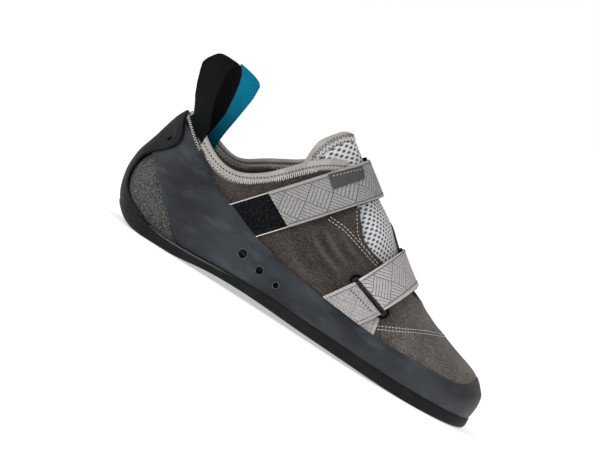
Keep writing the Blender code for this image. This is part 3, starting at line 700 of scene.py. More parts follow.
def sole_rubber():
    """Near-black climbing rubber, with a painted highlight along the top edge of its side."""
    made = Finish("sole_rubber", Specular_IOR_Level=0.18)
    fine = made.noise(0.8, 3.0)
    cloud = made.noise(12, 3.0)
    base = made.between(made.band(cloud, 0.3, 0.7), shade(13, 15, 16), shade(24, 27, 27))
    # A paler line along the top edge of the side: a painted highlight.
    worn = made.math("MULTIPLY", made.band(made.noted("edge"), 0.25, 0.9), 0.75)
    base = made.between(worn, base, shade(116, 119, 120))
    made.colour(base)
    made.rough(cloud, 0.5, 0.7)
    made.relief(fine, 0.08)
    return made.material


def binding_cloth():
    """Light grey brushed knit of the padded edges."""
    made = Finish("binding", Roughness=0.9, Sheen_Weight=0.3, Sheen_Roughness=0.5, Specular_IOR_Level=0.2)
    fuzz = made.noise(0.6, 3.0)
    cloud = made.noise(10, 2.0)
    base = made.between(made.band(cloud, 0.3, 0.7), shade(158, 153, 148), shade(176, 171, 166))
    base = made.tint(base, made.band(fuzz, 0.5, 0.8), 0.4, shade(126, 121, 117))
    base = made.tint(base, made.noted("flange"), 0.8, shade(84, 79, 76))
    made.colour(base)
    made.relief(fuzz, 0.15)
    return made.material


def tongue_mesh():
    """Open spacer mesh: light strands round staggered dark holes."""
    made = Finish("mesh", Roughness=0.8, Specular_IOR_Level=0.25)
    along, across = made.cloth()
    row_pitch, hole_pitch = 2.2, 3.4
    rows = made.math("DIVIDE", along, row_pitch)
    stagger = made.math("MULTIPLY", made.math("MODULO", made.math("FLOOR", rows), 2.0), 0.5)
    holes = made.math("ADD", made.math("DIVIDE", across, hole_pitch), stagger)

    def off_centre(value, size):
        return made.math("MULTIPLY", made.math("SUBTRACT", made.math("FRACT", value), 0.5), size)

    down = made.math("POWER", off_centre(rows, row_pitch), 2.0)
    aside = made.math("POWER", off_centre(holes, hole_pitch), 2.0)
    reach = made.math("SQRT", made.math("ADD", down, aside))
    strand = made.band(reach, 0.5, 1.12)
    fibre = made.noise(0.5, 2.0)
    light = made.between(made.band(fibre, 0.35, 0.7), shade(198, 200, 202), shade(238, 239, 241))
    made.colour(made.between(strand, shade(84, 87, 93), light))
    made.relief(fibre, 0.12)
    made.relief(strand, 0.7)
    return made.material


def strap_print(name, dark, light, inked):
    """Light grey strap with a printed parquet of fine dark lines and turned hems."""
    made = Finish(name, Roughness=0.85, Specular_IOR_Level=0.2, Sheen_Weight=0.1)
    along, across = made.cloth()
    cell, lines = 13.0, 6.0
    slant = made.math("DIVIDE", made.math("ADD", along, across), cell * math.sqrt(2))
    counter = made.math("DIVIDE", made.math("SUBTRACT", along, across), cell * math.sqrt(2))
    blocks = made.math("ADD", made.math("FLOOR", slant), made.math("FLOOR", counter))
    turned = made.math("ABSOLUTE", made.math("MODULO", blocks, 2.0))
    ruled = made.node("Mix", {0: turned, 2: slant, 3: counter}, data_type="FLOAT").outputs[0]

    def rule(value, count, width):
        step = made.math("FRACT", made.math("MULTIPLY", value, count))
        spot = made.math("ABSOLUTE", made.math("SUBTRACT", step, 0.5))
        return made.band(spot, 0.5 - width, 0.5 - width * 0.35)

    ink = rule(ruled, lines, 0.16)
    for value in (slant, counter):
        ink = made.math("MAXIMUM", ink, rule(value, 1.0, 0.03))
    thread = made.math("MULTIPLY", made.math("SINE", made.math("MULTIPLY", along, 9.0)),
                       made.math("SINE", made.math("MULTIPLY", across, 9.0)))
    speck = made.noise(0.6, 3.0)
    base = made.between(made.band(speck, 0.36, 0.7), dark, light)
    aside = made.math("ABSOLUTE", across)
    hem_start = STRAP_WIDTH / 2 - HEM_WIDTH
    hem = made.band(aside, hem_start, hem_start + 0.5)
    off_fold = made.math("ABSOLUTE", made.math("SUBTRACT", aside, hem_start))
    fold = made.math("SUBTRACT", 0.6, made.math("MULTIPLY", made.band(off_fold, 0.2, 0.5), 0.6))
    ink = made.math("MULTIPLY", ink, made.math("SUBTRACT", 1.0, hem))
    ink = made.math("MAXIMUM", ink, fold)
    base = made.tint(base, hem, 0.3, light)
    made.colour(made.tint(base, ink, inked, shade(78, 73, 71)))
    made.relief(hem, 0.5)
    made.relief(thread, 0.08)
    made.relief(speck, 0.12)
    return made.material


def loop_pile():
    """Black pile that the hooks grip."""
    return grained("loop_pile", 0.8, 4.0, shade(5, 5, 6), shade(40, 42, 44), 0.9, 0.4, 0.72,
                   Roughness=0.9, Specular_IOR_Level=0.06)


def tab_rubber():
    """Dark grey moulded tab with a fine even grain."""
    return grained("tab_rubber", 0.5, 2.0, shade(64, 62, 61), shade(80, 78, 77), 0.1,
                   Roughness=0.6, Specular_IOR_Level=0.3)


def ring_coat(name, dark, worn, gloss):
    """Black lacquered wire with patches of a paler tone, a painted reflection, and rougher in the same
    patches.
    """
    made = Finish(name, Specular_IOR_Level=0.5 * gloss, Coat_Weight=gloss, Coat_Roughness=0.1)
    reflection_and_roughness = made.noise(2.0, 3.0)
    # The paler patches are a painted reflection.
    made.colour(made.between(made.band(reflection_and_roughness, 0.45, 0.8), dark, worn))
    made.rough(reflection_and_roughness, 0.22, 0.4)
    made.relief(reflection_and_roughness, 0.03)
    return made.material


def webbing(name, dark, light):
    """Tightly woven tape: ribs across it and fine threads along it, with painted shade towards its foot.
    """
    made = Finish(name, Roughness=0.75, Specular_IOR_Level=0.06)
    along, across = made.cloth()
    turns = 2 * math.pi / 1.5
    rib = made.math("SINE", made.math("MULTIPLY", along, turns))
    warp = made.math("SINE", made.math("MULTIPLY", across, turns))
    weave = made.band(made.math("MULTIPLY", rib, warp), -0.8, 0.8)
    cloud = made.noise(6, 2.0)
    share = made.math("ADD", made.math("MULTIPLY", weave, 0.8), made.math("MULTIPLY", cloud, 0.2))
    base = made.between(share, dark, light)
    # Darker towards the loop's foot: painted shade where the collar hides it from the light.
    made.colour(made.tint(base, made.noted("foot"), 0.7, shade(2, 8, 10)))
    made.relief(weave, 0.2)
    return made.material


def thread(name, dark, light):
    """Twisted sewing thread."""
    return grained(name, 0.4, 2.0, dark, light, Roughness=0.7, Specular_IOR_Level=0.3)


def board():
    """Thin insole board with a felted face."""
    return grained("insole", 1.1, 4.0, shade(58, 55, 54), shade(86, 82, 80), 0.25,
                   Roughness=0.95, Specular_IOR_Level=0.15)


PALE_THREAD = thread("pale_thread", shade(176, 172, 167), shade(222, 219, 214))
WHITE_THREAD = thread("white_thread", shade(204, 202, 199), shade(238, 237, 235))
GREY_THREAD = thread("grey_thread", shade(84, 81, 79), shade(118, 115, 112))
DARK_THREAD = thread("dark_thread", shade(40, 38, 38), shade(66, 63, 62))


# The pieces


def make_upper():
    """The suede upper: soft folds pressed in, a paler toe, cloth under the heel sling, and its lining."""
    upper = grown_from("upper", "suede_upper", rounds=3, firm=0.6)
    points = sizes_of(upper)
    side_view = np.stack([points[:, 0], points[:, 2]], 1)
    outside = normals_of(upper)[:, 1] < 0.3
    folds = np.zeros(len(points))
    for start, end, depth, half_width in FOLDS:
        bowed = smooth_line((start, ((start[0] + end[0]) / 2, (start[1] + end[1]) / 2 - 1.2), end))
        off, share = line_distance(side_view, bowed)
        fade = np.sin(np.pi * np.clip(share, 0, 1)) ** 0.7
        trough = bell(off, half_width)
        ridge = np.exp(-(off / half_width - 1.9) ** 2)
        folds += depth * (trough - 0.45 * ridge) * fade * outside * (points[:, 1] < 5)
    push(upper, -folds)
    # The fold depths are kept for the finish, which paints shade in the valleys and a highlight on the
    # ridges.
    note(upper, "fold", folds)
    note(upper, "toe", ramp(points[:, 0], *TOE_TONE))
    # Points under the rand's vents, where the finish paints shade into the holes.
    vents = np.zeros(len(points))
    for x, height, width in VENTS:
        off = np.hypot(points[:, 0] - x, points[:, 2] - height)
        vents = np.maximum(vents, (off < width) * (points[:, 1] < 0))
    note(upper, "vent", vents)
    dress(upper, suede(), "suede", "upper")
    upper.data.materials.append(heel_cloth())
    upper.data.materials.append(lining())
    centres = in_sizes(np.array([face.center for face in upper.data.polygons]))
    facing = np.array([face.normal for face in upper.data.polygons])
    x, _, z = centres.T
    middle_y = np.interp(x, (0, 150, 220), (0, 2, 10))
    middle_z = np.interp(x, (0, 90, 150, 200), (45, 45, 20, 12))
    out = centres - np.stack([np.clip(x, -12, 196), middle_y, middle_z], 1)
    inner = (out * facing).sum(1) < 0
    sling = (x < 4) & (z < 30 - 0.7 * x)
    cover = np.where(inner, 2, np.where(sling, 1, 0))
    upper.data.polygons.foreach_set("material_index", cover.astype(np.int32))
    return upper


def make_rand(suede_face):
    """The rand, its upper edge drawn out to a feather and, at the heel, up to the collar."""
    rand = grown_from("rand", "rubber_rand", rounds=2, firm=0.3)
    start = points_of(rand)
    points = in_sizes(start)
    feet, ways, height = over(suede_face, start)
    x, _, z = points.T
    below = np.maximum(np.interp(x, RAND_TOP_X, RAND_TOP_Z) - z, 0)
    near_edge = 1 - ramp(below, 0, 5)
    reach = np.interp(x, RAND_REACH_X, RAND_REACH)
    up = np.array((0, 0, 1)) - ways * ways[:, 2:3]
    up /= np.linalg.norm(up, axis=1)[:, None]
    raised = start + up * (reach * near_edge * MM)[:, None]
    feet, ways, _ = over(suede_face, raised)
    at_toe = ramp(x, 190, 212)
    edge_thickness = 1.45 - 1.05 * at_toe
    body_thickness = edge_thickness + 2.0 * ramp(below, 0, 4.0 + 6 * at_toe)
    thin = np.minimum(height, body_thickness)
    settled = feet + ways * (thin * MM)[:, None]
    over_sole = z - np.interp(x, SOLE_TOP_X, SOLE_TOP_Z)
    lower_seat, rear_edge_shift = 1.3, 3.0
    settled[:, 2] -= lower_seat * MM * (1 - ramp(over_sole, 0, 3)) * ramp(x, 40, 70)
    settled[:, 0] += rear_edge_shift * MM * bell(x + 4, 8) * ramp(z, 24, 10)
    set_points(rand, settled)
    # The toe share, which the finish uses to paint light onto the rand's toe.
    note(rand, "toe", ramp(x, 150, 190))
    return dress(rand, rand_rubber(), "rand_rubber", "rand")


class Vent:
    """A round hole in rubber: its middle on the surface, the way out of it, and two ways across."""

    def __init__(self, face, x, height, clear):
        spots = [(x + clear, height), (x - clear, height), (x, height + clear), (x, height - clear)]
        hits = [face.seen(*spot) for spot in spots]
        self.middle = np.mean([hit[0] for hit in hits], 0)
        self.out = Vector(np.mean([hit[1] for hit in hits], 0)).normalized()
        self.along = (Vector((1, 0, 0)) - self.out * self.out.x).normalized()
        self.up = self.out.cross(self.along)

    def ring(self, face, reach):
        """A clean ring round the hole, at the height of the surface just outside it."""
        ring = []
        for turn in np.linspace(0, 2.1 * math.pi, 43):
            way = self.along * math.cos(turn) + self.up * math.sin(turn)
            beyond = Vector(self.middle) + way * (reach + 1.4) * MM + self.out * 5 * MM
            hit = face.ray(beyond, -self.out)
            ring.append((hit[0] - way * 1.4 * MM, self.out))
        return ring

    def widen(self, piece, radius, grow):
        """Draws the edge of the hole outwards."""
        start = points_of(piece)
        arm = start - self.middle
        depth = arm @ np.array(self.out)
        arm -= np.outer(depth, self.out)
        off = np.linalg.norm(arm, axis=1)
        share = bell(np.maximum(off - radius * MM, 0), 1.6 * MM) * (np.abs(depth) < 5 * MM)
        set_points(piece, start + arm / np.maximum(off, 1e-6)[:, None] * (share * grow * MM)[:, None])


def make_vents(rand, sole):
    """Thin moulded rims round the rand's three vents, painted paler as a highlight, and painted shade on
    the rand under the heel wrap's vent.
    """
    rims = []
    for x, height, width in VENTS:
        vent = Vent(Surface(rand), x, height, width / 2 + 1.6)
        vent.widen(rand, width / 2 - 0.2, 0.4)
        rims.append(vent.ring(Surface(rand), width / 2 + 0.3))
    # The rims' paler tone is a painted highlight.
    piping("vent_rims", rims, painted_rim_highlight(), width=0.75, slot="rand_rubber", sunk=0.3, step=0.5)
    vent = Vent(Surface(sole), *WRAP_VENT, 3.2)
    vent.widen(sole, 1.6, 0.3)
    start = points_of(rand)
    off = np.linalg.norm(start - vent.middle, axis=1) / MM
    set_points(rand, start - np.outer(bell(off, 4) * 1.3 * MM, vent.out))
    # Painted shade on the rand at the bottom of the heel wrap's vent.
    note(rand, "vent", 1 - ramp(off, 3.2, 4.7))


def fuller_wrap(sole):
    """Draws the lower edges of the heel wrap down and forwards along the heel, and its vent too."""
    point, normal = Surface(sole).seen(*WRAP_VENT)

    def along_the_heel(ahead, up):
        return np.array((ahead, -(ahead * normal.x + up * normal.z) / normal.y, up))

    start = points_of(sole)
    points = in_sizes(start)
    shift = along_the_heel(*WRAP_VENT_SHIFT)
    off = np.linalg.norm(start / MM - np.array(point) / MM + shift, axis=1)
    start += np.outer(bell(off, 7) * MM, shift)
    mirror = np.where(points[:, 1:2] < 0, 1, np.array((1, -1, 1)))
    for x, z, ahead, up in WRAP_DRAWN:
        off = np.hypot(points[:, 0] - x, points[:, 2] - z)
        start += along_the_heel(ahead, up) * mirror * (bell(off, 8.5) * MM)[:, None]
    set_points(sole, start)
    points = in_sizes(start)
    off = np.hypot(points[:, 0] - WRAP_CORNER[0], points[:, 2] - WRAP_CORNER[1])
    soften(sole, "wrap corners", np.where(off < 9, bell(off, 4.5), 0), 14)


def make_sole():
    """The outsole and its heel wrap, rounded at the back, with a lip along the waist and a painted
    highlight along the top edge of its side.
    """
    sole = grown_from("outsole", "rubber_sole", rounds=2, firm=0.85)
    x, _, z = sizes_of(sole).T
    soften(sole, "heel back", ramp(x, -26, -34) * ramp(z, 2, 6) * ramp(z, 32, 26), 24)
    fuller_wrap(sole)
    points = sizes_of(sole)
    steps = np.arange(-32, 84, 4)
    side = points[points[:, 2] < 11]
    tops = [side[np.abs(side[:, 0] - step) < 3][:, 2].max() for step in steps]
    below = np.interp(points[:, 0], steps, tops) - points[:, 2]
    waist = ramp(points[:, 0], 75, 25) * ramp(points[:, 0], -32, -20)
    outward = normals_of(sole)[:, 1] * np.sign(points[:, 1]) > 0.2
    lip = 0.8
    push(sole, lip * bell(below - 0.5, 1.4) * waist * outward)
    # The top edge of the side, where the finish paints a highlight.
    note(sole, "edge", bell(below, 0.9) * waist * (points[:, 2] < 12))
    return dress(sole, sole_rubber(), "sole_rubber", "outsole")


def make_insole():
    """The board in the sole's tray."""
    insole = grown_from("insole", "insole_board", rounds=1, firm=0.9)
    return dress(insole, board(), "insole", "insole")


def evened(line, passes=4):
    """A line with its small jogs smoothed out."""
    line = np.array(line, float)
    for _ in range(passes):
        line[1:-1] = (line[:-2] + 2 * line[1:-1] + line[2:]) / 4
    return line


def collar_ridge(points, bins=90):
    """The top of the collar's roll, from its lateral front end round the heel to its medial front end."""
    sizes = in_sizes(points)
    turn = -np.arctan2(sizes[:, 1], sizes[:, 0] - COLLAR_MIDDLE) % (2 * math.pi)
    which = np.digitize(turn, np.linspace(turn.min(), turn.max(), bins))
    ridge = []
    for k in np.unique(which):
        here = points[which == k]
        ridge.append(here[np.argmax(here[:, 2])])
    return smooth_line(evened(ridge), 3)


def collar_flank(face, ridge, depth, side):
    """A line at one depth under the collar's ridge, on its outer side (1) or its inner side (-1)."""
    middle = place(COLLAR_MIDDLE, 0, 0)
    up = Vector((0, 0, 1))
    found = []
    for before, knot, after in zip(ridge[:-2], ridge[1:-1], ridge[2:]):
        ahead = Vector(after - before).normalized()
        out = ahead.cross(up).normalized()
        if out.dot(Vector(knot) - middle) * side < 0:
            out = -out
        down = (ahead * ahead.z - up).normalized()
        found.append(face.ray(Vector(knot) + (down * depth + out * 12) * MM, -out))
    return [hit for hit in found if hit]


def make_collar(upper):
    """The collar's padded roll, with the overlocked flange that sews it to the suede."""
    roll = grown_from("collar_binding", "collar_roll", rounds=3, firm=0.0)
    start = points_of(roll)
    feet, _, _ = over(Surface(upper), start)
    low = 1 - ramp(np.linalg.norm(start - feet, axis=1) / MM, 1.2, 3.7)
    start[:, 2] -= 1.6 * MM * low
    front = ramp(in_sizes(start)[:, 0], COLLAR_FRONT, COLLAR_FRONT + 16) * (1 - low)
    start += np.outer(front * MM, (1.2, 0, 1.3))
    set_points(roll, start)
    ridge = collar_ridge(start)
    _, share = line_distance(start, ridge)
    tops = np.interp(share, np.linspace(0, 1, len(ridge)), ridge[:, 2])
    depth = (tops - start[:, 2]) / MM
    swell, groove_depth, flange_step = 0.3, 0.7, 0.5
    groove = groove_depth * bell(depth - COLLAR_NEEDLE, 0.7)
    push(roll, swell - groove - flange_step * ease((depth - COLLAR_FLANGE) / 0.8))
    note(roll, "flange", ease((depth - COLLAR_FLANGE) / 0.5))
    dress(roll, binding_cloth(), "binding", "collar_binding")
    face = Surface(roll, upper)
    combs = [collar_flank(face, ridge, COLLAR_FLANGE + 1.4, side) for side in (1, -1)]
    sew("collar_overlock", combs, PALE_THREAD, *COLLAR_OVERLOCK, lean=84, turns=(1, 0.8, 1.12, 0.92))
    needles = [collar_flank(face, ridge, COLLAR_NEEDLE, side) for side in (1, -1)]
    sew("collar_needle_line", needles, DARK_THREAD, *NEEDLE_STITCH)
    return roll


def arch_back(piece):
    """Arches the free end of the tongue up and back, as its padding stands."""
    start = points_of(piece)
    points = in_sizes(start)
    off = np.hypot(points[:, 0] - TONGUE_ARCH[0], points[:, 2] - TONGUE_ARCH[1])
    set_points(piece, start + np.outer(bell(off, 9) * MM, TONGUE_ARCH_SHIFT))


def make_tongue():
    """The padded mesh tongue with its leather front end, and the soft roll sewn along its top."""
    lap = Lap(*TONGUE)
    tongue = grown_from("tongue", "mesh_tongue", rounds=2, firm=0.4)
    arch_back(tongue)
    points = sizes_of(tongue)
    push(tongue, 1.7 * bell(points[:, 0] - 113, 9) * (normals_of(tongue) @ lap.up > 0.2))
    points = sizes_of(tongue)
    across, out = points @ lap.across - lap.middle, points @ lap.up - lap.hub
    steps = np.arange(across.min(), across.max() + 6, 6)
    which = np.digitize(across, steps)
    reach = np.array([np.hypot(out, points[:, 1])[which == k].mean() for k in np.unique(which)])
    reach = np.interp(across, steps[np.unique(which) - 1] + 3, reach)
    lay_out(tongue, across, np.arctan2(points[:, 1], out) * reach)
    dress(tongue, tongue_mesh(), "mesh", "tongue")
    note(tongue, "toe", ramp(points[:, 0], *TOE_TONE))
    tongue.data.materials.append(suede())
    centres = in_sizes(np.array([face.center for face in tongue.data.polygons]))
    leather_end = centres[:, 0] > TONGUE_MESH_END
    tongue.data.polygons.foreach_set("material_index", leather_end.astype(np.int32))
    tip = grown_from("tongue_binding", "tongue_roll", rounds=3, firm=0.0)
    arch_back(tip)
    push(tip, np.full(len(tip.data.vertices), 0.35))
    face = Surface(tip)
    outermost = Surface(tip, tongue)
    edge = []
    turns, widths = np.arange(56, 124, 1.5), np.arange(12, -18, -0.25)
    for turn in turns:
        for across in widths:
            hit = lap.hit(face, across, turn)
            if hit and (hit[0] - lap.hit(outermost, across, turn)[0]).length < 0.01 * MM:
                edge.append(hit[0])
                break
    edge = evened(edge)
    off = line_distance(points_of(tip), edge)[0] / MM
    note(tip, "flange", 0.6 - 0.6 * ease((off - 4.4) / 0.5))
    dress(tip, binding_cloth(), "binding", "tongue_binding")
    line = face.laid(edge)
    upward = lap.up - 0.5 * lap.across
    sew("tongue_overlock", [face.beside(line, 2.6, upward)], WHITE_THREAD, *TONGUE_OVERLOCK, lean=70)
    sew("tongue_needle_line", [face.beside(line, 5.6, upward)], DARK_THREAD, *NEEDLE_STITCH)
    return tongue


def press(piece, suede_face, lap_line, reach, share):
    """Presses a piece down on the suede along a line, easing off over the reach."""
    start = points_of(piece)
    feet, ways, height = over(suede_face, start)
    off, _ = line_distance(start, np.array([hit[0] for hit in lap_line]))
    kept = share + (1 - share) * ease(off / MM / reach)
    set_points(piece, feet + ways * (height * kept * MM)[:, None])


def draw_to_the_rand(patch, suede_face):
    """Carries the rear end of the pile patch along the strap's way, over the suede, up to the rand."""
    start = points_of(patch)
    lap = Lap(*UPPER_STRAP)
    points = in_sizes(start)
    along = points @ lap.up
    across = points @ lap.across - lap.middle
    reach = PATCH_REACH[0] - PATCH_REACH[1] * across / (STRAP_WIDTH / 2)
    reach *= ramp(along, along.min() + 16, along.min())
    feet, _, height = over(suede_face, start)
    feet, ways, _ = over(suede_face, feet - lap.up * reach[:, None] * MM)
    set_points(patch, feet + ways * (height * MM)[:, None])


def laid_sheet(name, spot, columns, rows, lift, thickness):
    """A thin sheet laid on the shoe. spot gives the surface under each share of its length and width."""
    bpy.ops.object.select_all(action="DESELECT")
    bpy.ops.mesh.primitive_grid_add(x_subdivisions=columns, y_subdivisions=rows, size=1)
    sheet = bpy.context.object
    sheet.name = name
    for corner in sheet.data.vertices:
        point, normal = spot(corner.co.x + 0.5, corner.co.y + 0.5)
        corner.co = point + normal * lift * MM
    apply(sheet, "SOLIDIFY", thickness=thickness * MM, offset=0)
    apply(sheet, "BEVEL", width=thickness * 0.3 * MM, segments=2)
    bpy.ops.object.mode_set(mode="EDIT")
    bpy.ops.mesh.select_all(action="SELECT")
    bpy.ops.mesh.normals_make_consistent(inside=False)
    bpy.ops.object.mode_set(mode="OBJECT")
    return sheet


def make_badge(strap):
    """The bare rubber badge on the rear edge of the instep strap."""
    face = Surface(strap)
    corners = np.array(BADGE_CORNERS, float)

    def spot(along, across):
        rear = corners[0] + (corners[1] - corners[0]) * along
        front = corners[3] + (corners[2] - corners[3]) * along
        x, height = rear + (front - rear) * across
        hit = face.seen(x, height)
        return hit or face.near(place(x, -25, height))

    badge = laid_sheet("strap_badge", spot, columns=24, rows=12, lift=0.6, thickness=1.2)
    return dress(badge, tab_rubber(), "tab_rubber", "strap_tab")


def make_throat_facing(*under):
    """The medial edge of the throat: a suede flap on the tongue, with a dark edging."""
    face = Surface(*under)

    def from_above(x, y):
        return face.ray(place(x, y, 150), Vector((0, 0, -1)))

    def spot(along, across):
        x = FACING_X[0] + (FACING_X[-1] - FACING_X[0]) * along
        inner = np.interp(x, FACING_X, FACING_INNER_Y)
        outer = np.interp(x, FACING_X, FACING_OUTER_Y)
        return from_above(x, inner + (outer - inner) * across)

    flap = laid_sheet("throat_facing", spot, columns=30, rows=10, lift=0.7, thickness=1.4)
    dress(flap, suede(), "suede")
    edge = [from_above(x, y) for x, y in smooth_line(list(zip(FACING_X, FACING_INNER_Y)))]
    piping("throat_facing_edge", [edge], DARK_THREAD, width=2.4, sunk=0.2)


def make_hook_lining(name, strap, way, hook, turns, rear, front):
    """The black hook layer under a strap, shown a little past its rear and front edges over the crest."""
    lap, face, half = Lap(*way), Surface(strap), STRAP_WIDTH / 2

    def spot(along, across):
        wide = -half - rear + (2 * half + rear + front) * across
        kept = min(max(wide, 1.2 - half), half - 1.2)
        point, normal = lap.hit(face, kept, turns[0] + (turns[1] - turns[0]) * along)
        return point + Vector(lap.across) * (wide - kept) * MM, normal

    lining = laid_sheet(name, spot, columns=24, rows=14, lift=-2.1, thickness=0.9)
    return dress(lining, hook, "loop_pile")


def make_straps(suede_face):
    """Both straps with their hooks, the ring with its tab and base, the pile patch and the badge."""
    hook = loop_pile()
    # The forefoot strap and the ring's tab are lighter copies of the instep strap's print: painted light
    # on parts that face away from the lamps. The tab's print is also fainter.
    instep = strap_print("strap", shade(140, 138, 136), shade(186, 184, 182), 0.85)
    forefoot_painted_lighter = strap_print("forefoot_print_painted_light", shade(176, 172, 171), shade(220, 216, 215), 0.85)
    anchor = strap_print("anchor_print_painted_light", shade(150, 146, 145), shade(206, 202, 201), 0.4)
    prints = {"upper_strap": instep, "lower_strap": forefoot_painted_lighter}
    made = {}
    ways = (("upper_strap", "instep_strap", UPPER_STRAP), ("lower_strap", "forefoot_strap", LOWER_STRAP),
            ("anchor_tab", "ring_tab", ANCHOR), ("anchor_base", "ring_tab_base", ANCHOR_BASE))
    for node, name, way in ways:
        strap = grown_from(node, name, rounds=2, firm=0.75)
        lay_out(strap, *Lap(*way).measure(strap))
        if node.startswith("anchor"):
            press(strap, suede_face, suede_face.seen_line(ANCHOR_FOOT), reach=9.0, share=0.42)
        dress(strap, prints.get(node, anchor), "strap", node)
        made[node] = strap
    for node in ("upper_strap", "lower_strap"):
        made[node].data.materials.append(hook)
        for face in made[node].data.polygons:
            _, y, z = in_sizes(face.center)
            if face.normal.y * y + face.normal.z * (z - FOOT_MIDDLE) < 0:
                face.material_index = 1
    patch = grown_from("loop_patch", "pile_patch", rounds=3, firm=0.8)
    draw_to_the_rand(patch, suede_face)
    made["loop_patch"] = dress(patch, hook, "loop_pile", "loop_patch")
    made["strap_tab"] = make_badge(made["upper_strap"])
    ring = grown_from("strap_ring", "wire_ring", rounds=2, firm=0.0)
    push(ring, np.full(len(ring.data.vertices), 0.1))
    # The ring's paler patches are a faint painted reflection.
    lacquer = ring_coat("ring", shade(3, 3, 4), shade(16, 16, 18), 0.05)
    dress(ring, lacquer, "ring", "strap_ring")
    make_hook_lining("instep_hooks", made["upper_strap"], UPPER_STRAP, hook,
                     turns=(88, 140), rear=2.2, front=-2.0)
    make_hook_lining("forefoot_hooks", made["lower_strap"], LOWER_STRAP, hook,
                     turns=(72, 128), rear=1.8, front=1.8)
    # The ring's wire across the slot, coloured brown: a painted reflection of the lit wire.
    painted_lit_bar = ring_coat("ring_bar", shade(46, 40, 38), shade(80, 70, 66), 0.1)
    piping("ring_bar", [suede_face.seen_line(RING_SLOT)], painted_lit_bar, width=3.2, slot="ring", sunk=-1.6)
    return made


def make_strap_seams(straps):
    """Stitches along the hems and the badge, needle holes in the ring's tab, and the patch's edging."""
    half = STRAP_WIDTH / 2
    hems = []
    for node, way in (("upper_strap", UPPER_STRAP), ("lower_strap", LOWER_STRAP), ("anchor_tab", ANCHOR)):
        lap, face = Lap(*way), Surface(straps[node])
        hems += [lap.line(face, across, -40, 200, 120) for across in (-half + 2.0, half - 2.0)]
    sew("strap_hem_stitches", hems, GREY_THREAD, *HEM_STITCH)
    lap, face = Lap(*UPPER_STRAP), Surface(straps["loop_patch"])
    edges = [lap.line(face, across, -60, 80, 60) for across in (-half + 0.5, half - 0.5)]
    piping("patch_edging", edges, PALE_THREAD, width=0.8, slot="strap", sunk=0.2)
    badge = Surface(straps["strap_tab"]).seen_line(BADGE_SEAM)
    sew("badge_stitches", [badge], PALE_THREAD, *BADGE_STITCH)
    holes = Surface(straps["anchor_tab"]).seen_line(ANCHOR_HOLES)
    sew("anchor_needle_holes", [holes], DARK_THREAD, *NEEDLE_HOLE, sunk=0.3)


def make_heel_loop(node, name, slot, finish, lean, lift, rear, front, tuck):
    """A pull loop: its crest leans and lifts, its rear and front corners are rounded off, as pulled tape
    is, and the front edge of its foot is tucked in."""
    loop = grown_from(node, name, rounds=3, firm=0.6)
    start = points_of(loop)
    points = in_sizes(start)
    foot = points[:, 2].min()
    tall = np.ptp(points[:, 2])
    crest = points[points[:, 2] > foot + tall - 1.5][:, :2]
    spread = np.linalg.svd(crest - crest.mean(0))[2][0]
    spread *= np.sign(spread[0])
    flat = points[:, :2] - points[:, :2].mean(0)
    aside = flat @ spread
    out = flat @ np.array((-spread[1], spread[0]))
    rise = points[:, 2] - foot
    steps = np.arange(0, tall, 3)
    level = np.digitize(rise, steps)
    between_legs = [(out[level == k].min() + out[level == k].max()) / 2 for k in np.unique(level)]
    out -= np.interp(rise, steps[np.unique(level) - 1] + 1.5, between_legs)
    along = along_the_turn(rise - tall / 2, out)
    for leg in (out > 0, out <= 0):
        joint = leg & (np.abs(rise - LOOP_FOOT) < 1.5)
        climb = np.sign(np.polyfit(rise[leg], along[leg], 1)[0])
        straight = along[joint].mean() + climb * (rise[leg] - LOOP_FOOT)
        turned = ramp(rise[leg], LOOP_FOOT - 4, LOOP_FOOT + 12)
        along[leg] = straight + (along[leg] - straight) * turned
    lay_out(loop, along, aside)
    top = ramp(rise, tall - 18, tall)
    half_width = np.abs(aside).max()
    corner = np.where(aside < 0, rear, front) * (np.abs(aside) / half_width) ** 3
    start[:, 2] += (ease(rise / tall) * (lift - lean * flat[:, 0]) - top * corner) * MM
    start[:, :2] -= np.outer(np.sign(aside) * top ** 2 * corner * 0.3 * MM, spread)
    drawn_in = ramp(aside / half_width, -1, 1) * (1 - ramp(rise, 10, 66))
    start[:, :2] -= np.outer(drawn_in * tuck * MM, spread)
    set_points(loop, start)
    # How near each point is to the loop's foot, for the finish's painted shade there.
    note(loop, "foot", 1 - ramp(rise, 4, 54))
    return dress(loop, finish, slot, node)


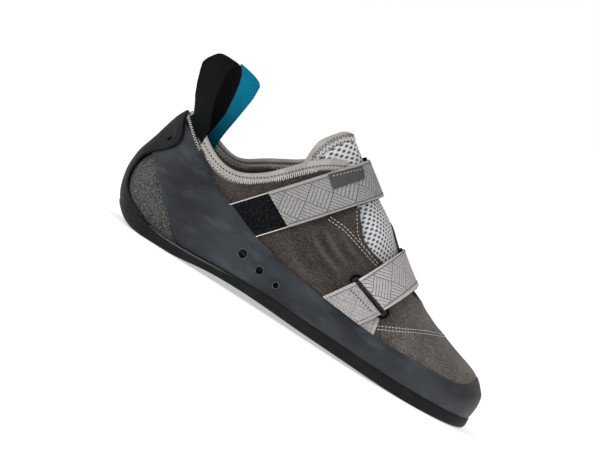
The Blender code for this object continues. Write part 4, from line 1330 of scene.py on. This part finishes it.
def make_stitches(suede_face):
    """Seams of the suede: throat, quarter and toe, the throat's edging, and the medial side's row."""
    throat = suede_face.seen_line(THROAT_SEAM)
    sew("throat_stitches", [throat], PALE_THREAD, *SEAM_STITCH)
    quarter = suede_face.seen_line(QUARTER_SEAM)
    pair = [suede_face.beside(quarter, offset) for offset in SEAM_PAIR]
    sew("quarter_stitches", pair, PALE_THREAD, *SEAM_STITCH)
    toe = suede_face.seen_line(TOE_SEAM)
    far = [suede_face.from_side(MEDIAL, *in_sizes(hit[0])[[0, 2]]) for hit in toe]
    far = [hit for hit in reversed(far) if hit]
    over_the_top = []
    for share in np.linspace(0, 1, 14)[1:-1]:
        above = toe[-1][0].lerp(far[0][0], share) + Vector((0, 0, 60 * MM))
        over_the_top.append(suede_face.ray(above, Vector((0, 0, -1))))
    seam = []
    for point in evened([hit[0] for hit in toe + over_the_top + far], 60):
        point = Vector(point)
        out = (point - Vector((point.x, *TOE_MIDDLE))).normalized()
        seam.append(suede_face.ray(point + out * 20 * MM, -out))
    pair = [suede_face.beside(seam, offset, (-1, 0, 1)) for offset in SEAM_PAIR]
    sew("toe_stitches", pair, PALE_THREAD, *TOE_STITCH)
    medial = suede_face.side_line(MEDIAL, MEDIAL_THROAT)
    edges = [suede_face.seen_line(THROAT_EDGE), medial]
    piping("throat_edging", edges, DARK_THREAD, width=1.7, slot="suede", sunk=0.5)
    sew("medial_throat_stitches", [suede_face.beside(medial, -3.0)], PALE_THREAD, *SEAM_STITCH)


def make_heel_zigzag(*under):
    """Strong zigzag seam that closes the collar beside the lateral pull loop."""
    line = Surface(*under).seen_line(HEEL_ZIGZAG)
    sew("heel_zigzag", [line], PALE_THREAD, *ZIGZAG_STITCH, lean=52, sunk=0.0)
    sew("heel_zigzag_shadow", [line], DARK_THREAD, *ZIGZAG_SHADOW, lean=-52, sunk=0.15)


# Stage


def set_stage():
    """A pale floor and an even white studio."""
    bpy.ops.object.select_all(action="DESELECT")
    bpy.ops.mesh.primitive_plane_add(size=40, location=(0, 0, 0))
    floor = bpy.context.object
    floor.name = "floor"
    paper = Finish("floor_paper", Roughness=0.9, Specular_IOR_Level=0.1, Base_Color=shade(252, 252, 252),
                   Emission_Color=(1, 1, 1, 1), Emission_Strength=0.5)
    floor.data.materials.append(paper.material)
    world = bpy.data.worlds.new("studio")
    bpy.context.scene.world = world
    world.use_nodes = True
    sky = world.node_tree.nodes["Background"]
    sky.inputs["Color"].default_value = (1, 1, 1, 1)
    ray = world.node_tree.nodes.new("ShaderNodeLightPath")
    level = world.node_tree.nodes.new("ShaderNodeMapRange")
    level.inputs["To Min"].default_value = SKY_LIGHT
    level.inputs["To Max"].default_value = 1.0
    world.node_tree.links.new(ray.outputs["Is Camera Ray"], level.inputs["Value"])
    world.node_tree.links.new(level.outputs[0], sky.inputs["Strength"])
    bpy.context.scene.view_settings.view_transform = "Standard"


def photo_axes():
    """Right, up and towards the camera, as the photograph holds the shoe."""
    turn, rise = VIEW_ROLL, VIEW_RISE
    right = Vector((math.cos(turn), math.sin(turn) * math.sin(rise), math.sin(turn) * math.cos(rise)))
    up = Vector((-math.sin(turn), math.cos(turn) * math.sin(rise), math.cos(turn) * math.cos(rise)))
    return right, up, Vector((0, -math.cos(rise), math.sin(rise)))


def add_light(name, right, up, near, width, watts):
    """A soft box placed as the photograph sees it, in millimetres from the shoe's middle."""
    axes = photo_axes()
    middle = place(*VIEW_MIDDLE)
    spot = middle + (axes[0] * right + axes[1] * up + axes[2] * near) * MM
    light = bpy.data.lights.new(name, "AREA")
    light.size = width * MM
    light.energy = watts
    box = add_piece(name, light)
    box.location = spot
    box.rotation_euler = (middle - spot).to_track_quat("-Z", "Y").to_euler()


def set_camera():
    """The photograph's camera, held at its angle to the shoe."""
    right, up, near = photo_axes()
    lens = bpy.data.cameras.new("camera")
    lens.sensor_width = 36.0
    lens.lens = lens.sensor_width * (VIEW_DISTANCE + NEAR_SIDE / 2) / VIEW_WIDTH
    camera = add_piece("camera", lens)
    spot = place(*VIEW_MIDDLE) + near * VIEW_DISTANCE * MM
    camera.matrix_world = Matrix.Translation(spot) @ Matrix((right, up, near)).transposed().to_4x4()
    bpy.context.scene.camera = camera


upper = make_upper()
suede_face = Surface(upper)
rand = make_rand(suede_face)
sole = make_sole()
make_vents(rand, sole)
make_insole()
collar = make_collar(upper)
tongue = make_tongue()
make_throat_facing(upper, tongue)
straps = make_straps(suede_face)
make_strap_seams(straps)
black = webbing("black_webbing", shade(0, 0, 0), shade(24, 27, 27))
teal = webbing("teal_webbing", shade(3, 92, 122), shade(16, 146, 180))
black_loop = make_heel_loop("heel_loop_lateral", "black_pull_loop", "black_webbing", black,
                            lean=0, lift=0, rear=4.5, front=1.5, tuck=3.0)
make_heel_loop("heel_loop_medial", "teal_pull_loop", "teal_webbing", teal,
               lean=0.22, lift=1.6, rear=1.5, front=5.5, tuck=4.0)
make_stitches(suede_face)
make_heel_zigzag(rand, collar, upper, black_loop)
set_stage()
add_light("key", right=-500, up=900, near=800, width=700, watts=6)
add_light("fill", right=900, up=200, near=1000, width=1000, watts=2)
set_camera()
